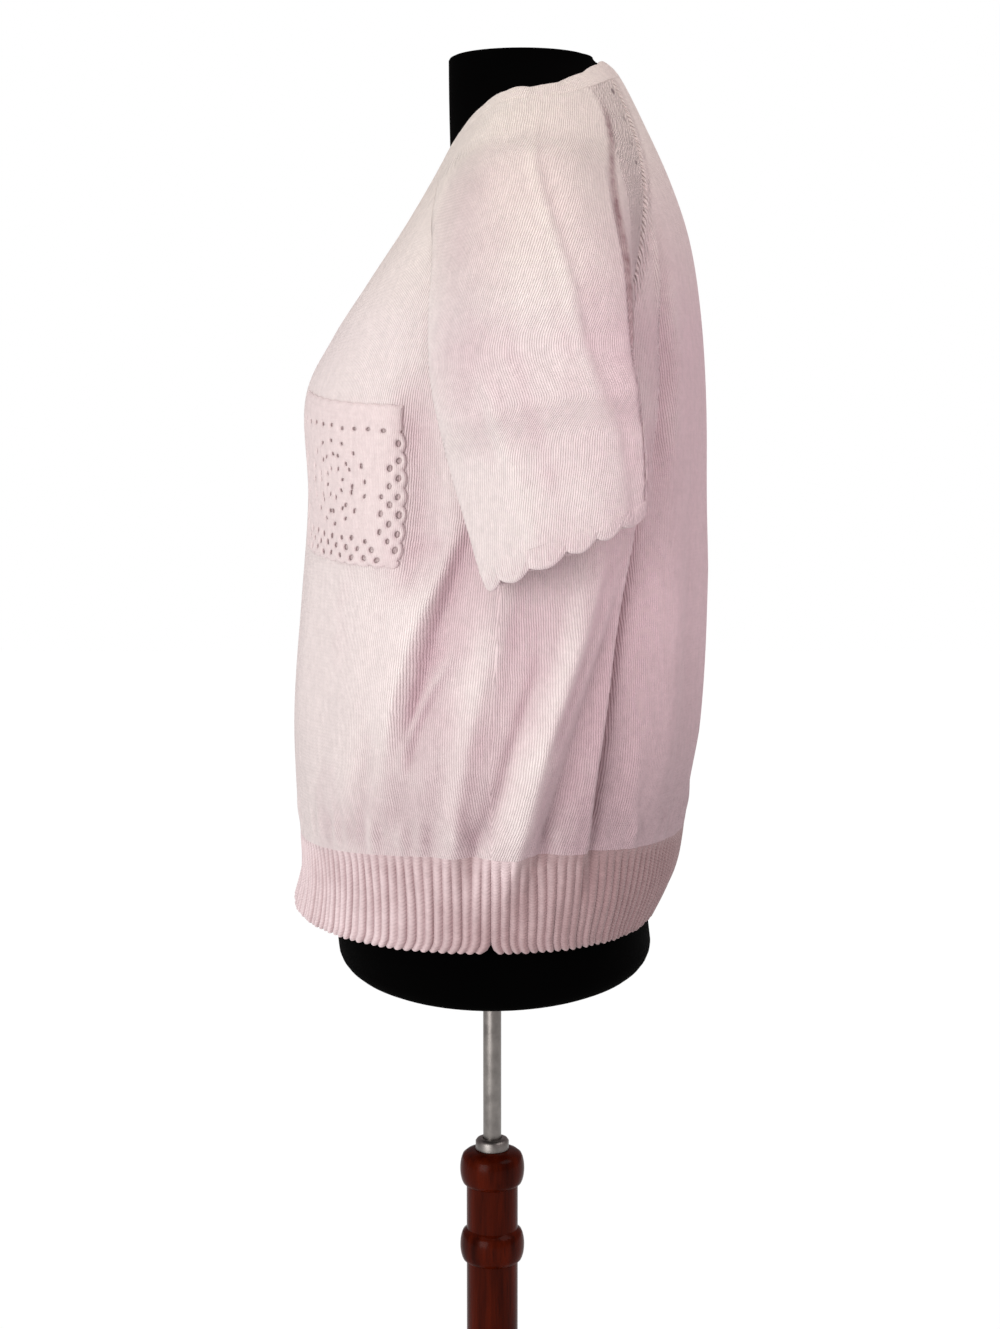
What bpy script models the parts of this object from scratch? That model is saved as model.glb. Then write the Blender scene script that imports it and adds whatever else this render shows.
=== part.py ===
"""Short-sleeve knitted sweater with a crochet pocket and crochet edgings, worn by a limbless
dress form on a turned stand.

Metres, +Z up. The origin is on the floor under the axis of the stand, the front faces -Y and the
wearer's left is +X. The cloth is worked out from one family of rings round the body. A ring is
named by its level, which counts the rows of BODY_RINGS, and a point on it by its angle: 0 at the
centre of the front, 90 at the left side and 180 at the centre of the back.
"""
import math

import bmesh
import bpy
from mathutils import Vector

COLLECTION_NAME = "knitted_sweater"

WALL = 0.0020               # thickness of the knitted cloth
SEAM_GAP = 0.00030          # left open between two pieces that are sewn together
FORM_CLEARANCE = 0.00070    # between the cloth and the form that carries it
MEAN_RADIUS = 0.16          # of the body, by which widths along the cloth are turned into angles

# Rings of the outer face, from the hem to the neckline. Heights at the front, side and back,
# the reach to the side, front and back, where the side lies (middle), how square the front and
# back are (2 is an ellipse), and the angles of the raglan seams in degrees.
BODY_COLUMNS = ("z_front", "z_side", "z_back", "half_width", "front", "back", "middle",
                "square_front", "square_back", "seam_front", "seam_back")
BODY_RINGS = (
    (0.8180, 0.8125, 0.8110, 0.1700, 0.1395, 0.1130, 0.000, 2.40, 2.30, 90, 90),   # 0 hem
    (0.8430, 0.8450, 0.8430, 0.1735, 0.1335, 0.1290, 0.000, 2.45, 2.30, 90, 90),   # 1 in the rib
    (0.8700, 0.8775, 0.8750, 0.1780, 0.1338, 0.1350, 0.000, 2.50, 2.35, 90, 90),   # 2 top of rib
    (0.9080, 0.9130, 0.9100, 0.1870, 0.1365, 0.1400, 0.000, 2.50, 2.35, 90, 90),   # 3 overhang
    (0.9550, 0.9550, 0.9550, 0.1900, 0.1368, 0.1450, 0.000, 2.50, 2.35, 90, 90),   # 4 hip
    (1.0300, 1.0300, 1.0300, 0.1875, 0.1310, 0.1470, 0.005, 2.55, 2.35, 90, 90),   # 5 waist
    (1.1000, 1.1000, 1.1000, 0.1815, 0.1258, 0.1480, 0.008, 2.70, 2.35, 90, 90),   # 6 under bust
    (1.1650, 1.1650, 1.1650, 0.1730, 0.1272, 0.1472, 0.012, 2.80, 2.35, 90, 90),   # 7 underarm
    (1.2050, 1.2220, 1.2220, 0.1700, 0.1090, 0.1432, 0.014, 2.60, 2.30, 76, 118),  # 8 chest
    (1.2380, 1.2750, 1.2700, 0.1640, 0.0868, 0.1355, 0.016, 2.40, 2.25, 63, 129),  # 9 blades
    (1.2700, 1.3120, 1.3100, 0.1500, 0.0650, 0.1225, 0.018, 2.20, 2.15, 52, 138),  # 10 shoulder
    (1.2980, 1.3420, 1.3500, 0.1200, 0.0480, 0.1045, 0.020, 2.10, 2.10, 41, 146),  # 11 slope
    (1.3176, 1.3597, 1.3825, 0.0917, 0.0378, 0.0880, 0.022, 2.00, 2.00, 32, 151),  # 12 knit ends
    (1.3308, 1.3680, 1.3940, 0.0780, 0.0302, 0.0765, 0.022, 2.00, 2.00, 28, 153),  # 13 neckline
)
SIDE_SEAM = 90              # the angle of the side seams, under the raglan seams
WELT_LEVEL = 2
UNDERARM_LEVEL = 7
KNIT_END_LEVEL = 12
NECKLINE_LEVEL = 13
LOWER_LEVELS = (2.0, 2.6, 3.3, 4.1, 5.0, 5.7, 6.35)
SEAM_LEVELS = (7.0, 7.35, 7.75, 8.25, 8.8, 9.4, 10.0, 10.65, 11.3, 12.0)
PANEL_COLUMNS = 32
COLUMN_SPREAD = 1.3         # how much wider than even the columns are at the middle of a panel
WELT_LEVEL_HEIGHT = 0.033   # height of one level at the top of the rib
NECK_GAP_LEVEL = 0.021      # in levels, half the gap between the knit and the neck edging

# Large soft folds of the body, left side. Each runs from its top to its bottom point, bowed by
# bend degrees at the middle; height is outwards for a ridge and inwards for a trough.
FOLD_COLUMNS = ("angle_top", "z_top", "angle_bottom", "z_bottom", "bend", "width", "height")
BODY_FOLDS = (
    (122, 1.075, 95, 0.873, -5, 0.011, 0.0085),     # broad ridge from the cuff to the side seam
    (117, 1.055, 97, 0.870, -4, 0.008, -0.0050),    # its dark back edge
    (127, 1.110, 116, 0.885, -2, 0.010, -0.0095),   # long sharp crease of the back
    (103, 1.045, 89, 0.880, -4, 0.010, -0.0050),    # trough between the two ridges
    (95, 1.050, 83, 0.885, -1, 0.012, 0.0045),      # ridge under the cuff
    (84, 1.080, 69, 0.955, -1, 0.013, 0.0060),      # slanting ridge of the front
    (85, 1.000, 68, 0.933, 0, 0.010, 0.0045),       # short ridge below it
    (89, 1.060, 75, 0.950, -1, 0.010, -0.0060),     # trough behind them
    (75, 1.165, 77, 1.085, 2, 0.014, -0.0065),      # valley in front of the armpit
    (134, 1.225, 129, 1.115, 1, 0.010, -0.0050),    # crease behind the back raglan seam
)
RIGHT_FOLD_SHIFT = -4       # degrees by which the right side's folds differ from the left's
RIGHT_FOLD_SCALE = 0.85
FOLD_RISE = (0.15, 0.35)    # shares of its length: how far above its top a fold starts, and fades in
FOLD_FALL = (0.10, 0.30)    # how far below its bottom it ends, and over how long it fades out

# The raglan sleeve. Stations 0 to 9 hang between the two raglan seams at SEAM_LEVELS, from the
# neck down to the underarm, and the rest are closed round the arm. hang is 0 where the sleeve
# lies on the shoulder. Then come the front fold, the outermost line, the back fold and the
# underarm line.
SLEEVE_COLUMNS = ("hang", "front_x", "front_y", "front_z", "crown_x", "crown_y", "crown_z",
                  "back_x", "back_y", "back_z", "inner_x", "inner_y", "inner_z")
SLEEVE_STATIONS = (
    (0.00, 0.090, -0.025, 1.3400, 0.092, 0.022, 1.3600, 0.080, 0.066, 1.3700, 0, 0, 0),
    (0.00, 0.110, -0.028, 1.3300, 0.120, 0.022, 1.3430, 0.100, 0.068, 1.3500, 0, 0, 0),
    (0.15, 0.118, -0.030, 1.3220, 0.152, 0.022, 1.3320, 0.125, 0.070, 1.3250, 0, 0, 0),
    (0.75, 0.128, -0.0295, 1.308, 0.180, 0.020, 1.3150, 0.148, 0.072, 1.3070, 0, 0, 0),
    (1.00, 0.150, -0.0328, 1.278, 0.199, 0.018, 1.2850, 0.169, 0.0765, 1.280, 0, 0, 0),
    (1.00, 0.168, -0.0352, 1.245, 0.209, 0.018, 1.2520, 0.181, 0.0825, 1.250, 0, 0, 0),
    (1.00, 0.180, -0.0375, 1.215, 0.216, 0.019, 1.2240, 0.189, 0.0852, 1.224, 0, 0, 0),
    (1.00, 0.187, -0.0378, 1.191, 0.220, 0.021, 1.2020, 0.194, 0.0865, 1.204, 0, 0, 0),
    (1.00, 0.191, -0.0362, 1.171, 0.223, 0.024, 1.1840, 0.198, 0.0880, 1.188, 0, 0, 0),
    (1.00, 0.195, -0.0322, 1.150, 0.225, 0.028, 1.1650, 0.201, 0.0905, 1.172, 0, 0, 0),
    (1.00, 0.199, -0.0265, 1.127, 0.227, 0.033, 1.1440, 0.204, 0.0928, 1.154, 0.1815, 0.030, 1.140),
    (1.00, 0.202, -0.0198, 1.104, 0.229, 0.038, 1.1230, 0.206, 0.0945, 1.136, 0.1855, 0.036, 1.120),
    (1.00, 0.205, -0.0135, 1.083, 0.231, 0.043, 1.1030, 0.208, 0.0950, 1.119, 0.1885, 0.042, 1.101),
    (1.00, 0.207, -0.0080, 1.064, 0.232, 0.047, 1.0850, 0.209, 0.0948, 1.104, 0.1905, 0.046, 1.084),
    (1.00, 0.208, -0.0015, 1.049, 0.232, 0.050, 1.0725, 0.209, 0.0940, 1.093, 0.1915, 0.049, 1.071),
)
UNDERARM_STATION = 9
KNIT_END_STATION = 13
CUFF_STATION = 14
SLEEVE_SPANS = (1, 1, 5, 6, 6, 5, 1, 1)              # columns between the nine guide points
SLEEVE_SHARES = (0, 0.08, 0.20, 0.35, 0.50, 0.65, 0.80, 0.92, 1)
UNDERARM_STANDOFF = 0.0009
TURN_GUIDE = 0.55           # where the guide point between a seam and a fold lies
TURN_OPEN = 0.62            # how far out the cloth has come there, beside the body
TURN_CLOSED = 0.25          # and on the closed sleeve
OUTER_GUIDE = 0.45          # where the guide point between a fold and the outermost line lies
OUTER_REACH = 0.80          # how far out the cloth has come there
CUFF_SEAM_GAP = 0.036       # in stations, about half a millimetre
TROUGH_SHARE_TOP = 0.60     # the long trough of the sleeve, as a share of the way round it
TROUGH_SHARE_BOTTOM = 0.77
TROUGH_DEPTH = 0.0065
TROUGH_FADE = 0.65          # how much shallower it is at the cuff
TROUGH_WIDTH = 0.055

RIBS_PER_WELT = 81
RIB_HEIGHT = 0.0012
RIB_BASE = 0.0018           # wall under the ribs
WELT_INNER_COLUMNS = RIBS_PER_WELT
WELT_LEVELS = (0.0, 1.0, 2.0)
SIDE_NOTCH = 0.7            # degrees by which the side seam opens at the hem

SCALLOPS_NECK = 19
SCALLOP_STEPS = 4
SCALLOP_NECK_DEPTH = 0.16   # in levels
SCALLOPS_CUFF = 11
SCALLOP_CUFF_DEPTH = 0.40   # in stations
EDGING_WALL = 0.0022

POCKET_START = 0.083        # along the front from its centre
POCKET_WIDTH = 0.116
POCKET_INNER_RISE = 0.0085  # how far its inner edge stands above its outer edge
POCKET_TOP = 1.1625
POCKET_BOTTOM = 1.0615
POCKET_WALL = 0.0016
POCKET_STANDOFF = 0.0010    # between the pocket and the front
POCKET_CELLS = (13, 12)     # cells across and down
LACE_HOLE_SHARE = 0.62      # of a cell that a hole takes
LACE_FIRST_COLUMN = 11      # meshed columns beside the outer edge
LACE_LAST_ROW = 1           # meshed rows above the bottom edge
LACE_TOP_ROW = 10
LACE_TOP_CELLS = (2, 5, 7, 11)

# The form, measured inwards from the cloth's outer face at each level: at its front, side and
# back. Where it carries the cloth it lies just clear of the cloth's inner face.
CARRY = WALL + FORM_CLEARANCE
INSET_COLUMNS = ("level", "front", "side", "back")
FORM_INSETS = (
    (0.0, 0.0300, 0.0115, 0.0045),
    (1.0, 0.0250, 0.0160, 0.0170),
    (2.0, 0.0280, 0.0220, 0.0240),
    (3.15, 0.0360, 0.0380, 0.0360),
    (4.5, 0.0440, 0.0600, 0.0540),
    (5.2, 0.0420, 0.0640, 0.0600),
    (6.4, 0.0180, 0.0400, 0.0480),
    (7.0, CARRY, 0.0240, 0.0360),
    (7.75, CARRY, 0.0130, 0.0200),
    (8.8, CARRY, 0.0040, 0.0060),
    (9.4, CARRY, CARRY, CARRY),
    (13.0, CARRY, CARRY, CARRY),
)
FORM_COLUMNS = 36
FORM_HEM_HALF_WIDTH = 0.159
FORM_HEM_FRONT = 0.1090
FORM_HEM_BACK = 0.1125
FORM_BOTTOM = 0.7690
FORM_EDGE_RADIUS = 0.016
FORM_EDGE_PROFILE = ((0.0, 1.0), (0.3, 0.3), (1.0, 0.0))   # shares of it: height, and inwards
NECK_HALF_WIDTH = 0.0520
NECK_FRONT = 0.0295
NECK_BACK = 0.0690
NECK_MIDDLE = 0.0200
NECK_TOP = 1.3970
NECK_EDGE = 0.0030
NECK_SHARES = (0.45, 0.80)  # heights of the rings between the collar and the top

ROD_RADIUS = 0.0065
ROD_SINK = 0.030            # how deep the rod stands in the post
BORE_CLEARANCE = 0.0004
SOCKET_RADIUS = 0.0240
SOCKET_HEIGHT = 0.0090
SOCKET_FLANGE = 0.0030
SOCKET_COLLAR = (0.0040, 0.0027)        # wall of its collar at the top, and height of its lip
NUT_RADIUS = 0.0120
NUT_HEIGHT = 0.0080
NUT_CHAMFER = 0.0020
POST_TOP = 0.6280
POST_RADIUS = 0.0185
POST_CHAMFER = 0.0040
POST_FOOT = ((0.060, 0.0), (0.030, 0.006), (0.0, 0.010))   # height above the base, and flare
RING_RADIUS = 0.0232
RING_CENTRES = (0.6140, 0.5570)
RING_HALF_HEIGHT = 0.0125
RING_SHARES = (1.0, 0.6, 0.25, -0.25, -0.6, -1.0)          # of half its height, down its profile
BASE_RADIUS = 0.1700
BASE_HEIGHT = 0.0280
BASE_PROFILE = ((0.55, 0.0), (0.88, 0.006), (0.97, 0.011), (1.0, 0.017))   # radius share, drop
BASE_EDGE = 0.0040
TURNED_SIDES = 20
ROD_SIDES = 16
BASE_SIDES = 32


def smooth_row(table, level):
    """Read a table between its rows with a curve that passes through them."""
    index = min(max(int(math.floor(level)), 0), len(table) - 2)
    share = level - index
    rows = [table[min(max(index + step, 0), len(table) - 1)] for step in (-1, 0, 1, 2)]
    values = []
    for before, start, end, after in zip(*rows):
        bend = 2 * before - 5 * start + 4 * end - after
        turn = -before + 3 * start - 3 * end + after
        values.append(0.5 * (2 * start + (end - before) * share + bend * share ** 2 + turn * share ** 3))
    return values


def ring_at(level):
    ring = dict(zip(BODY_COLUMNS, smooth_row(BODY_RINGS, level)))
    ring["seam_front"] = min(ring["seam_front"], SIDE_SEAM)
    ring["seam_back"] = max(ring["seam_back"], SIDE_SEAM)
    return ring


def plain_body_point(level, angle):
    """A point of the body's outer face, without its folds."""
    ring = ring_at(level)
    turn = math.radians(angle)
    sine = math.sin(turn)
    cosine = math.cos(turn)
    if cosine >= 0:
        square = ring["square_front"]
        reach = -(ring["front"] + ring["middle"])
        height = ring["z_side"] + (ring["z_front"] - ring["z_side"]) * cosine ** 2
    else:
        square = ring["square_back"]
        reach = ring["back"] - ring["middle"]
        height = ring["z_side"] + (ring["z_back"] - ring["z_side"]) * cosine ** 2
    x = math.copysign(abs(sine) ** (2 / square), sine) * ring["half_width"]
    y = ring["middle"] + reach * abs(cosine) ** (2 / square)
    return Vector((x, y, height))


def body_normal(level, angle):
    """The outward direction of the body's plain face."""
    step_level = 0.02
    step_angle = 0.4
    up = plain_body_point(level + step_level, angle) - plain_body_point(level - step_level, angle)
    round_body = plain_body_point(level, angle + step_angle) - plain_body_point(level, angle - step_angle)
    return round_body.cross(up).normalized()


def fold_height(angle, height):
    """How far the folds move the cloth out at an angle from -180 to 270 degrees."""
    angle = (angle + 180) % 360 - 180
    right = angle < 0
    scale = RIGHT_FOLD_SCALE if right else 1
    place = abs(angle) - (RIGHT_FOLD_SHIFT if right else 0)
    total = 0
    for row in BODY_FOLDS:
        fold = dict(zip(FOLD_COLUMNS, row))
        share = (fold["z_top"] - height) / (fold["z_top"] - fold["z_bottom"])
        if not -FOLD_RISE[0] < share < 1 + FOLD_FALL[0]:
            continue
        inside = min(max(share, 0), 1)
        path = fold["angle_top"] + (fold["angle_bottom"] - fold["angle_top"]) * inside
        path += fold["bend"] * 4 * inside * (1 - inside)
        across = math.radians(place - path) * MEAN_RADIUS / fold["width"]
        taper = min(1, (share + FOLD_RISE[0]) / FOLD_RISE[1], (1 + FOLD_FALL[0] - share) / FOLD_FALL[1])
        total += fold["height"] * scale * math.exp(-across ** 2) * taper
    return total


def body_point(level, angle, inwards=0.0):
    point = plain_body_point(level, angle)
    return point + body_normal(level, angle) * (fold_height(angle, point.z) - inwards)


def side_gap_angle(level):
    """Half the seam gap, as an angle on this ring."""
    return math.degrees(SEAM_GAP / 2 / ring_at(level)["half_width"])


def collection_for(name):
    group = bpy.data.collections.new(name)
    bpy.context.scene.collection.children.link(group)
    return group


def clear_scene():
    for old in list(bpy.data.objects):
        bpy.data.objects.remove(old, do_unlink=True)


def make_material(name, colour, roughness, metallic=0.0):
    material = bpy.data.materials.new(name)
    material.use_nodes = True
    shader = material.node_tree.nodes["Principled BSDF"]
    shader.inputs["Base Color"].default_value = (*colour, 1)
    shader.inputs["Roughness"].default_value = roughness
    shader.inputs["Metallic"].default_value = metallic
    material.diffuse_color = (*colour, 1)
    return material


def make_object(name, points, faces, material, group, smooth=True):
    mesh = bpy.data.meshes.new(name)
    mesh.from_pydata([tuple(point) for point in points], [], faces)
    if smooth:
        mesh.shade_smooth()
    mesh.materials.append(material)
    thing = bpy.data.objects.new(name, mesh)
    group.objects.link(thing)
    return thing


def grid_faces(rows, columns, closed=False):
    """Faces of a grid whose columns run to the left of its rising rows."""
    faces = []
    last = columns if closed else columns - 1
    for row in range(rows - 1):
        for column in range(last):
            right = (column + 1) % columns
            low = row * columns
            high = low + columns
            faces.append((low + column, low + right, high + right, high + column))
    return faces


def add_wall(thing, thickness):
    """Thicken an open face inwards."""
    wall = thing.modifiers.new("wall", "SOLIDIFY")
    wall.thickness = thickness
    wall.offset = -1
    wall.use_rim = True


def weld(thing, distance=0.00001):
    mesh = bmesh.new()
    mesh.from_mesh(thing.data)
    bmesh.ops.remove_doubles(mesh, verts=mesh.verts, dist=distance)
    bmesh.ops.dissolve_degenerate(mesh, edges=mesh.edges, dist=distance)
    mesh.to_mesh(thing.data)
    mesh.free()


def panel_angle(level, share, back):
    """The angle of a column of the front or back, from -1 at its right edge to 1 at its left."""
    ring = ring_at(level)
    gap = side_gap_angle(level)
    if back:
        return 180 - share * (180 - ring["seam_back"] - gap)
    return share * (ring["seam_front"] - gap)


def column_share(column):
    """Where a column of a panel lies, from -1 to 1, closer together towards the side seams."""
    even = 2 * column / PANEL_COLUMNS - 1
    return COLUMN_SPREAD * even + (1 - COLUMN_SPREAD) * even ** 3


def panel_point(level, column, back):
    levels = LOWER_LEVELS + SEAM_LEVELS
    share = -column_share(column) if back else column_share(column)
    lift = SEAM_GAP / WELT_LEVEL_HEIGHT / 2 if level == levels[0] else 0
    lift -= NECK_GAP_LEVEL if level == levels[-1] else 0
    return body_point(level + lift, panel_angle(level, share, back))


def make_panel(name, back, material, group):
    levels = LOWER_LEVELS + SEAM_LEVELS
    points = []
    for level in levels:
        for column in range(PANEL_COLUMNS + 1):
            points.append(panel_point(level, column, back))
    faces = grid_faces(len(levels), PANEL_COLUMNS + 1)
    panel = make_object(name, points, faces, material, group)
    add_wall(panel, WALL)
    return panel


def station_guides(station, side):
    """Nine guide points round the sleeve, from the front seam over the outside to the back seam."""
    row = dict(zip(SLEEVE_COLUMNS, smooth_row(SLEEVE_STATIONS, station)))
    front = Vector((row["front_x"], row["front_y"], row["front_z"]))
    crown = Vector((row["crown_x"], row["crown_y"], row["crown_z"]))
    back = Vector((row["back_x"], row["back_y"], row["back_z"]))
    if station >= UNDERARM_STATION:
        start = Vector((row["inner_x"], row["inner_y"], row["inner_z"]))
        if station == UNDERARM_STATION:
            start = body_point(UNDERARM_LEVEL, 90, -UNDERARM_STANDOFF)
        end = start
        on_body = None
    else:
        level = SEAM_LEVELS[len(SEAM_LEVELS) - 1 - station]
        ring = ring_at(level)
        gap = side_gap_angle(level)
        if station == 0:
            level -= NECK_GAP_LEVEL
        first = ring["seam_front"] + gap
        last = ring["seam_back"] - gap
        on_body = [body_point(level, first + (last - first) * share) for share in SLEEVE_SHARES]
        start = on_body[0]
        end = on_body[-1]
    turn = TURN_OPEN if on_body else TURN_CLOSED
    front_inner = start.lerp(front, TURN_GUIDE)
    front_inner.x = start.x + (front.x - start.x) * turn
    back_inner = end.lerp(back, TURN_GUIDE)
    back_inner.x = end.x + (back.x - end.x) * turn
    front_outer = front.lerp(crown, OUTER_GUIDE)
    front_outer.x = front.x + (crown.x - front.x) * OUTER_REACH
    back_outer = back.lerp(crown, OUTER_GUIDE)
    back_outer.x = back.x + (crown.x - back.x) * OUTER_REACH
    guides = [start, front_inner, front, front_outer, crown, back_outer, back, back_inner, end]
    if on_body:
        hang = row["hang"]
        guides = [flat.lerp(free, hang) for flat, free in zip(on_body, guides)]
    return [Vector((side * point.x, point.y, point.z)) for point in guides]


def sleeve_section(station, side):
    """Points round the sleeve at a station, from its front seam or underarm line."""
    guides = [tuple(point) for point in station_guides(station, side)]
    closed = station >= UNDERARM_STATION
    padded = guides
    if closed:
        padded = guides[-2:-1] + guides + guides[1:2]
    points = []
    offset = 1 if closed else 0
    for span, steps in enumerate(SLEEVE_SPANS):
        for step in range(steps):
            points.append(Vector(smooth_row(padded, offset + span + step / steps)))
    points.append(Vector(guides[-1]))
    return points


def sleeve_trough(share, station):
    """The long soft trough that falls from the shoulder to the back of the cuff."""
    if station < 1:
        return 0
    along = (station - 1) / (CUFF_STATION - 1)
    centre = TROUGH_SHARE_TOP + (TROUGH_SHARE_BOTTOM - TROUGH_SHARE_TOP) * along
    taper = min(1, (station - 1) / 3) * (1 - TROUGH_FADE * along)
    return TROUGH_DEPTH * taper * math.exp(-((share - centre) / TROUGH_WIDTH) ** 2)


def sleeve_grid(stations, side):
    columns = sum(SLEEVE_SPANS) + 1
    points = []
    for station in stations:
        section = sleeve_section(station, side)
        for column, point in enumerate(section):
            share = column / (columns - 1)
            dent = sleeve_trough(share, station)
            points.append(point - Vector((side * dent, 0, 0)))
    return points


def wind(faces, side):
    """Turn the faces of a piece made for the left side when it is made for the right."""
    if side > 0:
        return [tuple(reversed(face)) for face in faces]
    return faces


def make_sleeve(name, side, material, group):
    stations = list(range(KNIT_END_STATION + 1))
    columns = sum(SLEEVE_SPANS) + 1
    points = sleeve_grid(stations, side)
    faces = wind(grid_faces(len(stations), columns), side)
    sleeve = make_object(name, points, faces, material, group)
    weld(sleeve)
    add_wall(sleeve, WALL)
    return sleeve


def make_cuff_edging(name, side, material, group):
    """A closed band under the sleeve with a scalloped lower edge."""
    columns = SCALLOPS_CUFF * SCALLOP_STEPS
    upper = section_ring(KNIT_END_STATION, side, columns)
    lower = section_ring(CUFF_STATION, side, columns)
    points = []
    for share in (0, 1):
        for column in range(columns):
            phase = (column % SCALLOP_STEPS) / SCALLOP_STEPS
            wave = abs(math.sin(math.pi * phase))
            end = 1 - SCALLOP_CUFF_DEPTH * (1 - wave)
            along = CUFF_SEAM_GAP + (end - CUFF_SEAM_GAP) * share
            points.append(upper[column].lerp(lower[column], along))
    faces = wind(grid_faces(2, columns, closed=True), side)
    edging = make_object(name, points, faces, material, group)
    add_wall(edging, EDGING_WALL)
    return edging


def section_ring(station, side, count):
    """The sleeve's closed section at a station as evenly spaced points."""
    columns = sum(SLEEVE_SPANS) + 1
    dense = sleeve_grid([station], side)[:columns]
    lengths = [0.0]
    for before, after in zip(dense, dense[1:]):
        lengths.append(lengths[-1] + (after - before).length)
    ring = []
    index = 0
    for place in range(count):
        target = lengths[-1] * place / count
        while lengths[index + 1] < target:
            index += 1
        part = (target - lengths[index]) / (lengths[index + 1] - lengths[index])
        ring.append(dense[index].lerp(dense[index + 1], part))
    return ring


def make_welt(name, back, material, group):
    """A ribbed band: ribs raised in its outer points over a plain inside."""
    ribs = RIBS_PER_WELT
    outer_columns = 2 * ribs + 1
    per_inner = 2 * ribs // WELT_INNER_COLUMNS
    points = []
    rows = len(WELT_LEVELS)

    def welt_point(level, share, inwards):
        gap = side_gap_angle(level) + SIDE_NOTCH * max(0, 1 - level) ** 2
        edge = 90 - gap
        angle = 180 - share * edge if back else share * edge
        lowered = level - (SEAM_GAP / WELT_LEVEL_HEIGHT / 2 if level == WELT_LEVEL else 0)
        return body_point(lowered, angle, inwards)

    for level in WELT_LEVELS:
        for column in range(outer_columns):
            share = 2 * column / (outer_columns - 1) - 1
            share = -share if back else share
            points.append(welt_point(level, share, 0 if column % 2 else RIB_HEIGHT))
    outer_count = len(points)
    for level in WELT_LEVELS:
        for column in range(WELT_INNER_COLUMNS + 1):
            share = 2 * column / WELT_INNER_COLUMNS - 1
            share = -share if back else share
            points.append(welt_point(level, share, RIB_HEIGHT + RIB_BASE))
    inner_columns = WELT_INNER_COLUMNS + 1
    faces = grid_faces(rows, outer_columns)
    for face in grid_faces(rows, inner_columns):
        faces.append(tuple(outer_count + corner for corner in reversed(face)))
    for row, flip in ((0, False), (rows - 1, True)):
        outer = row * outer_columns
        inner = outer_count + row * inner_columns
        for column in range(WELT_INNER_COLUMNS):
            first = outer + column * per_inner
            fan = [(first + step + 1, first + step, inner + column) for step in range(per_inner)]
            fan.append((inner + column, inner + column + 1, first + per_inner))
            faces.extend(tuple(reversed(face)) if flip else face for face in fan)
    for row in range(rows - 1):
        for outer, inner, flip in ((0, 0, True), (outer_columns - 1, inner_columns - 1, False)):
            low = row * outer_columns + outer
            low_in = outer_count + row * inner_columns + inner
            face = (low, low_in, low_in + inner_columns, low + outer_columns)
            faces.append(tuple(reversed(face)) if flip else face)
    return make_object(name, points, faces, material, group, smooth=False)


def make_neck_edging(name, material, group):
    """A closed crochet band on the neck opening, its upper edge gently scalloped."""
    columns = SCALLOPS_NECK * SCALLOP_STEPS
    start = KNIT_END_LEVEL + NECK_GAP_LEVEL
    points = []
    for share in (0, 0.5, 1):
        for column in range(columns):
            phase = (column % SCALLOP_STEPS) / SCALLOP_STEPS
            wave = abs(math.sin(math.pi * phase))
            end = NECKLINE_LEVEL - SCALLOP_NECK_DEPTH * (1 - wave)
            points.append(body_point(start + (end - start) * share, 360 * column / columns))
    edging = make_object(name, points, grid_faces(3, columns, closed=True), material, group)
    add_wall(edging, WALL)
    return edging


def on_panel(column, level):
    """A point of the front's faceted face between its own columns and levels."""
    levels = LOWER_LEVELS + SEAM_LEVELS
    row = max(index for index, start in enumerate(levels[:-1]) if start <= level)
    rise = (level - levels[row]) / (levels[row + 1] - levels[row])
    left = min(int(column), PANEL_COLUMNS - 1)
    across = column - left
    low = panel_point(levels[row], left, False).lerp(panel_point(levels[row], left + 1, False), across)
    high = panel_point(levels[row + 1], left, False).lerp(
        panel_point(levels[row + 1], left + 1, False), across)
    return low.lerp(high, rise)


def column_at(length, level):
    """The panel column whose distance from the centre of the front, along the cloth, is length."""
    step = 0.05
    column = PANEL_COLUMNS / 2
    travelled = 0.0
    point = on_panel(column, level)
    while travelled < length:
        column += step
        following = on_panel(column, level)
        travelled += (following - point).length
        point = following
    return column


def level_at_height(height):
    """The body level of a height between the hip and the underarm."""
    level = 4.0
    step = 0.005
    while ring_at(level)["z_front"] < height:
        level += step
    return level


def patch_point(across, up):
    """A point of the pocket, at a share of its width and height."""
    height = POCKET_BOTTOM + (POCKET_TOP - POCKET_BOTTOM) * up
    level = level_at_height(height + POCKET_INNER_RISE * (1 - across) ** 2)
    column = column_at(POCKET_START + POCKET_WIDTH * across, level)
    reach = 0.2
    round_body = on_panel(column + reach, level) - on_panel(column - reach, level)
    rise = on_panel(column, level + reach) - on_panel(column, level - reach)
    outwards = round_body.cross(rise).normalized()
    return on_panel(column, level) + outwards * (POCKET_STANDOFF + POCKET_WALL)


def has_hole(column, row):
    in_mesh = column >= LACE_FIRST_COLUMN or row <= LACE_LAST_ROW
    in_top_row = row == LACE_TOP_ROW and column in LACE_TOP_CELLS
    return (in_mesh and row < LACE_TOP_ROW) or in_top_row


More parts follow.
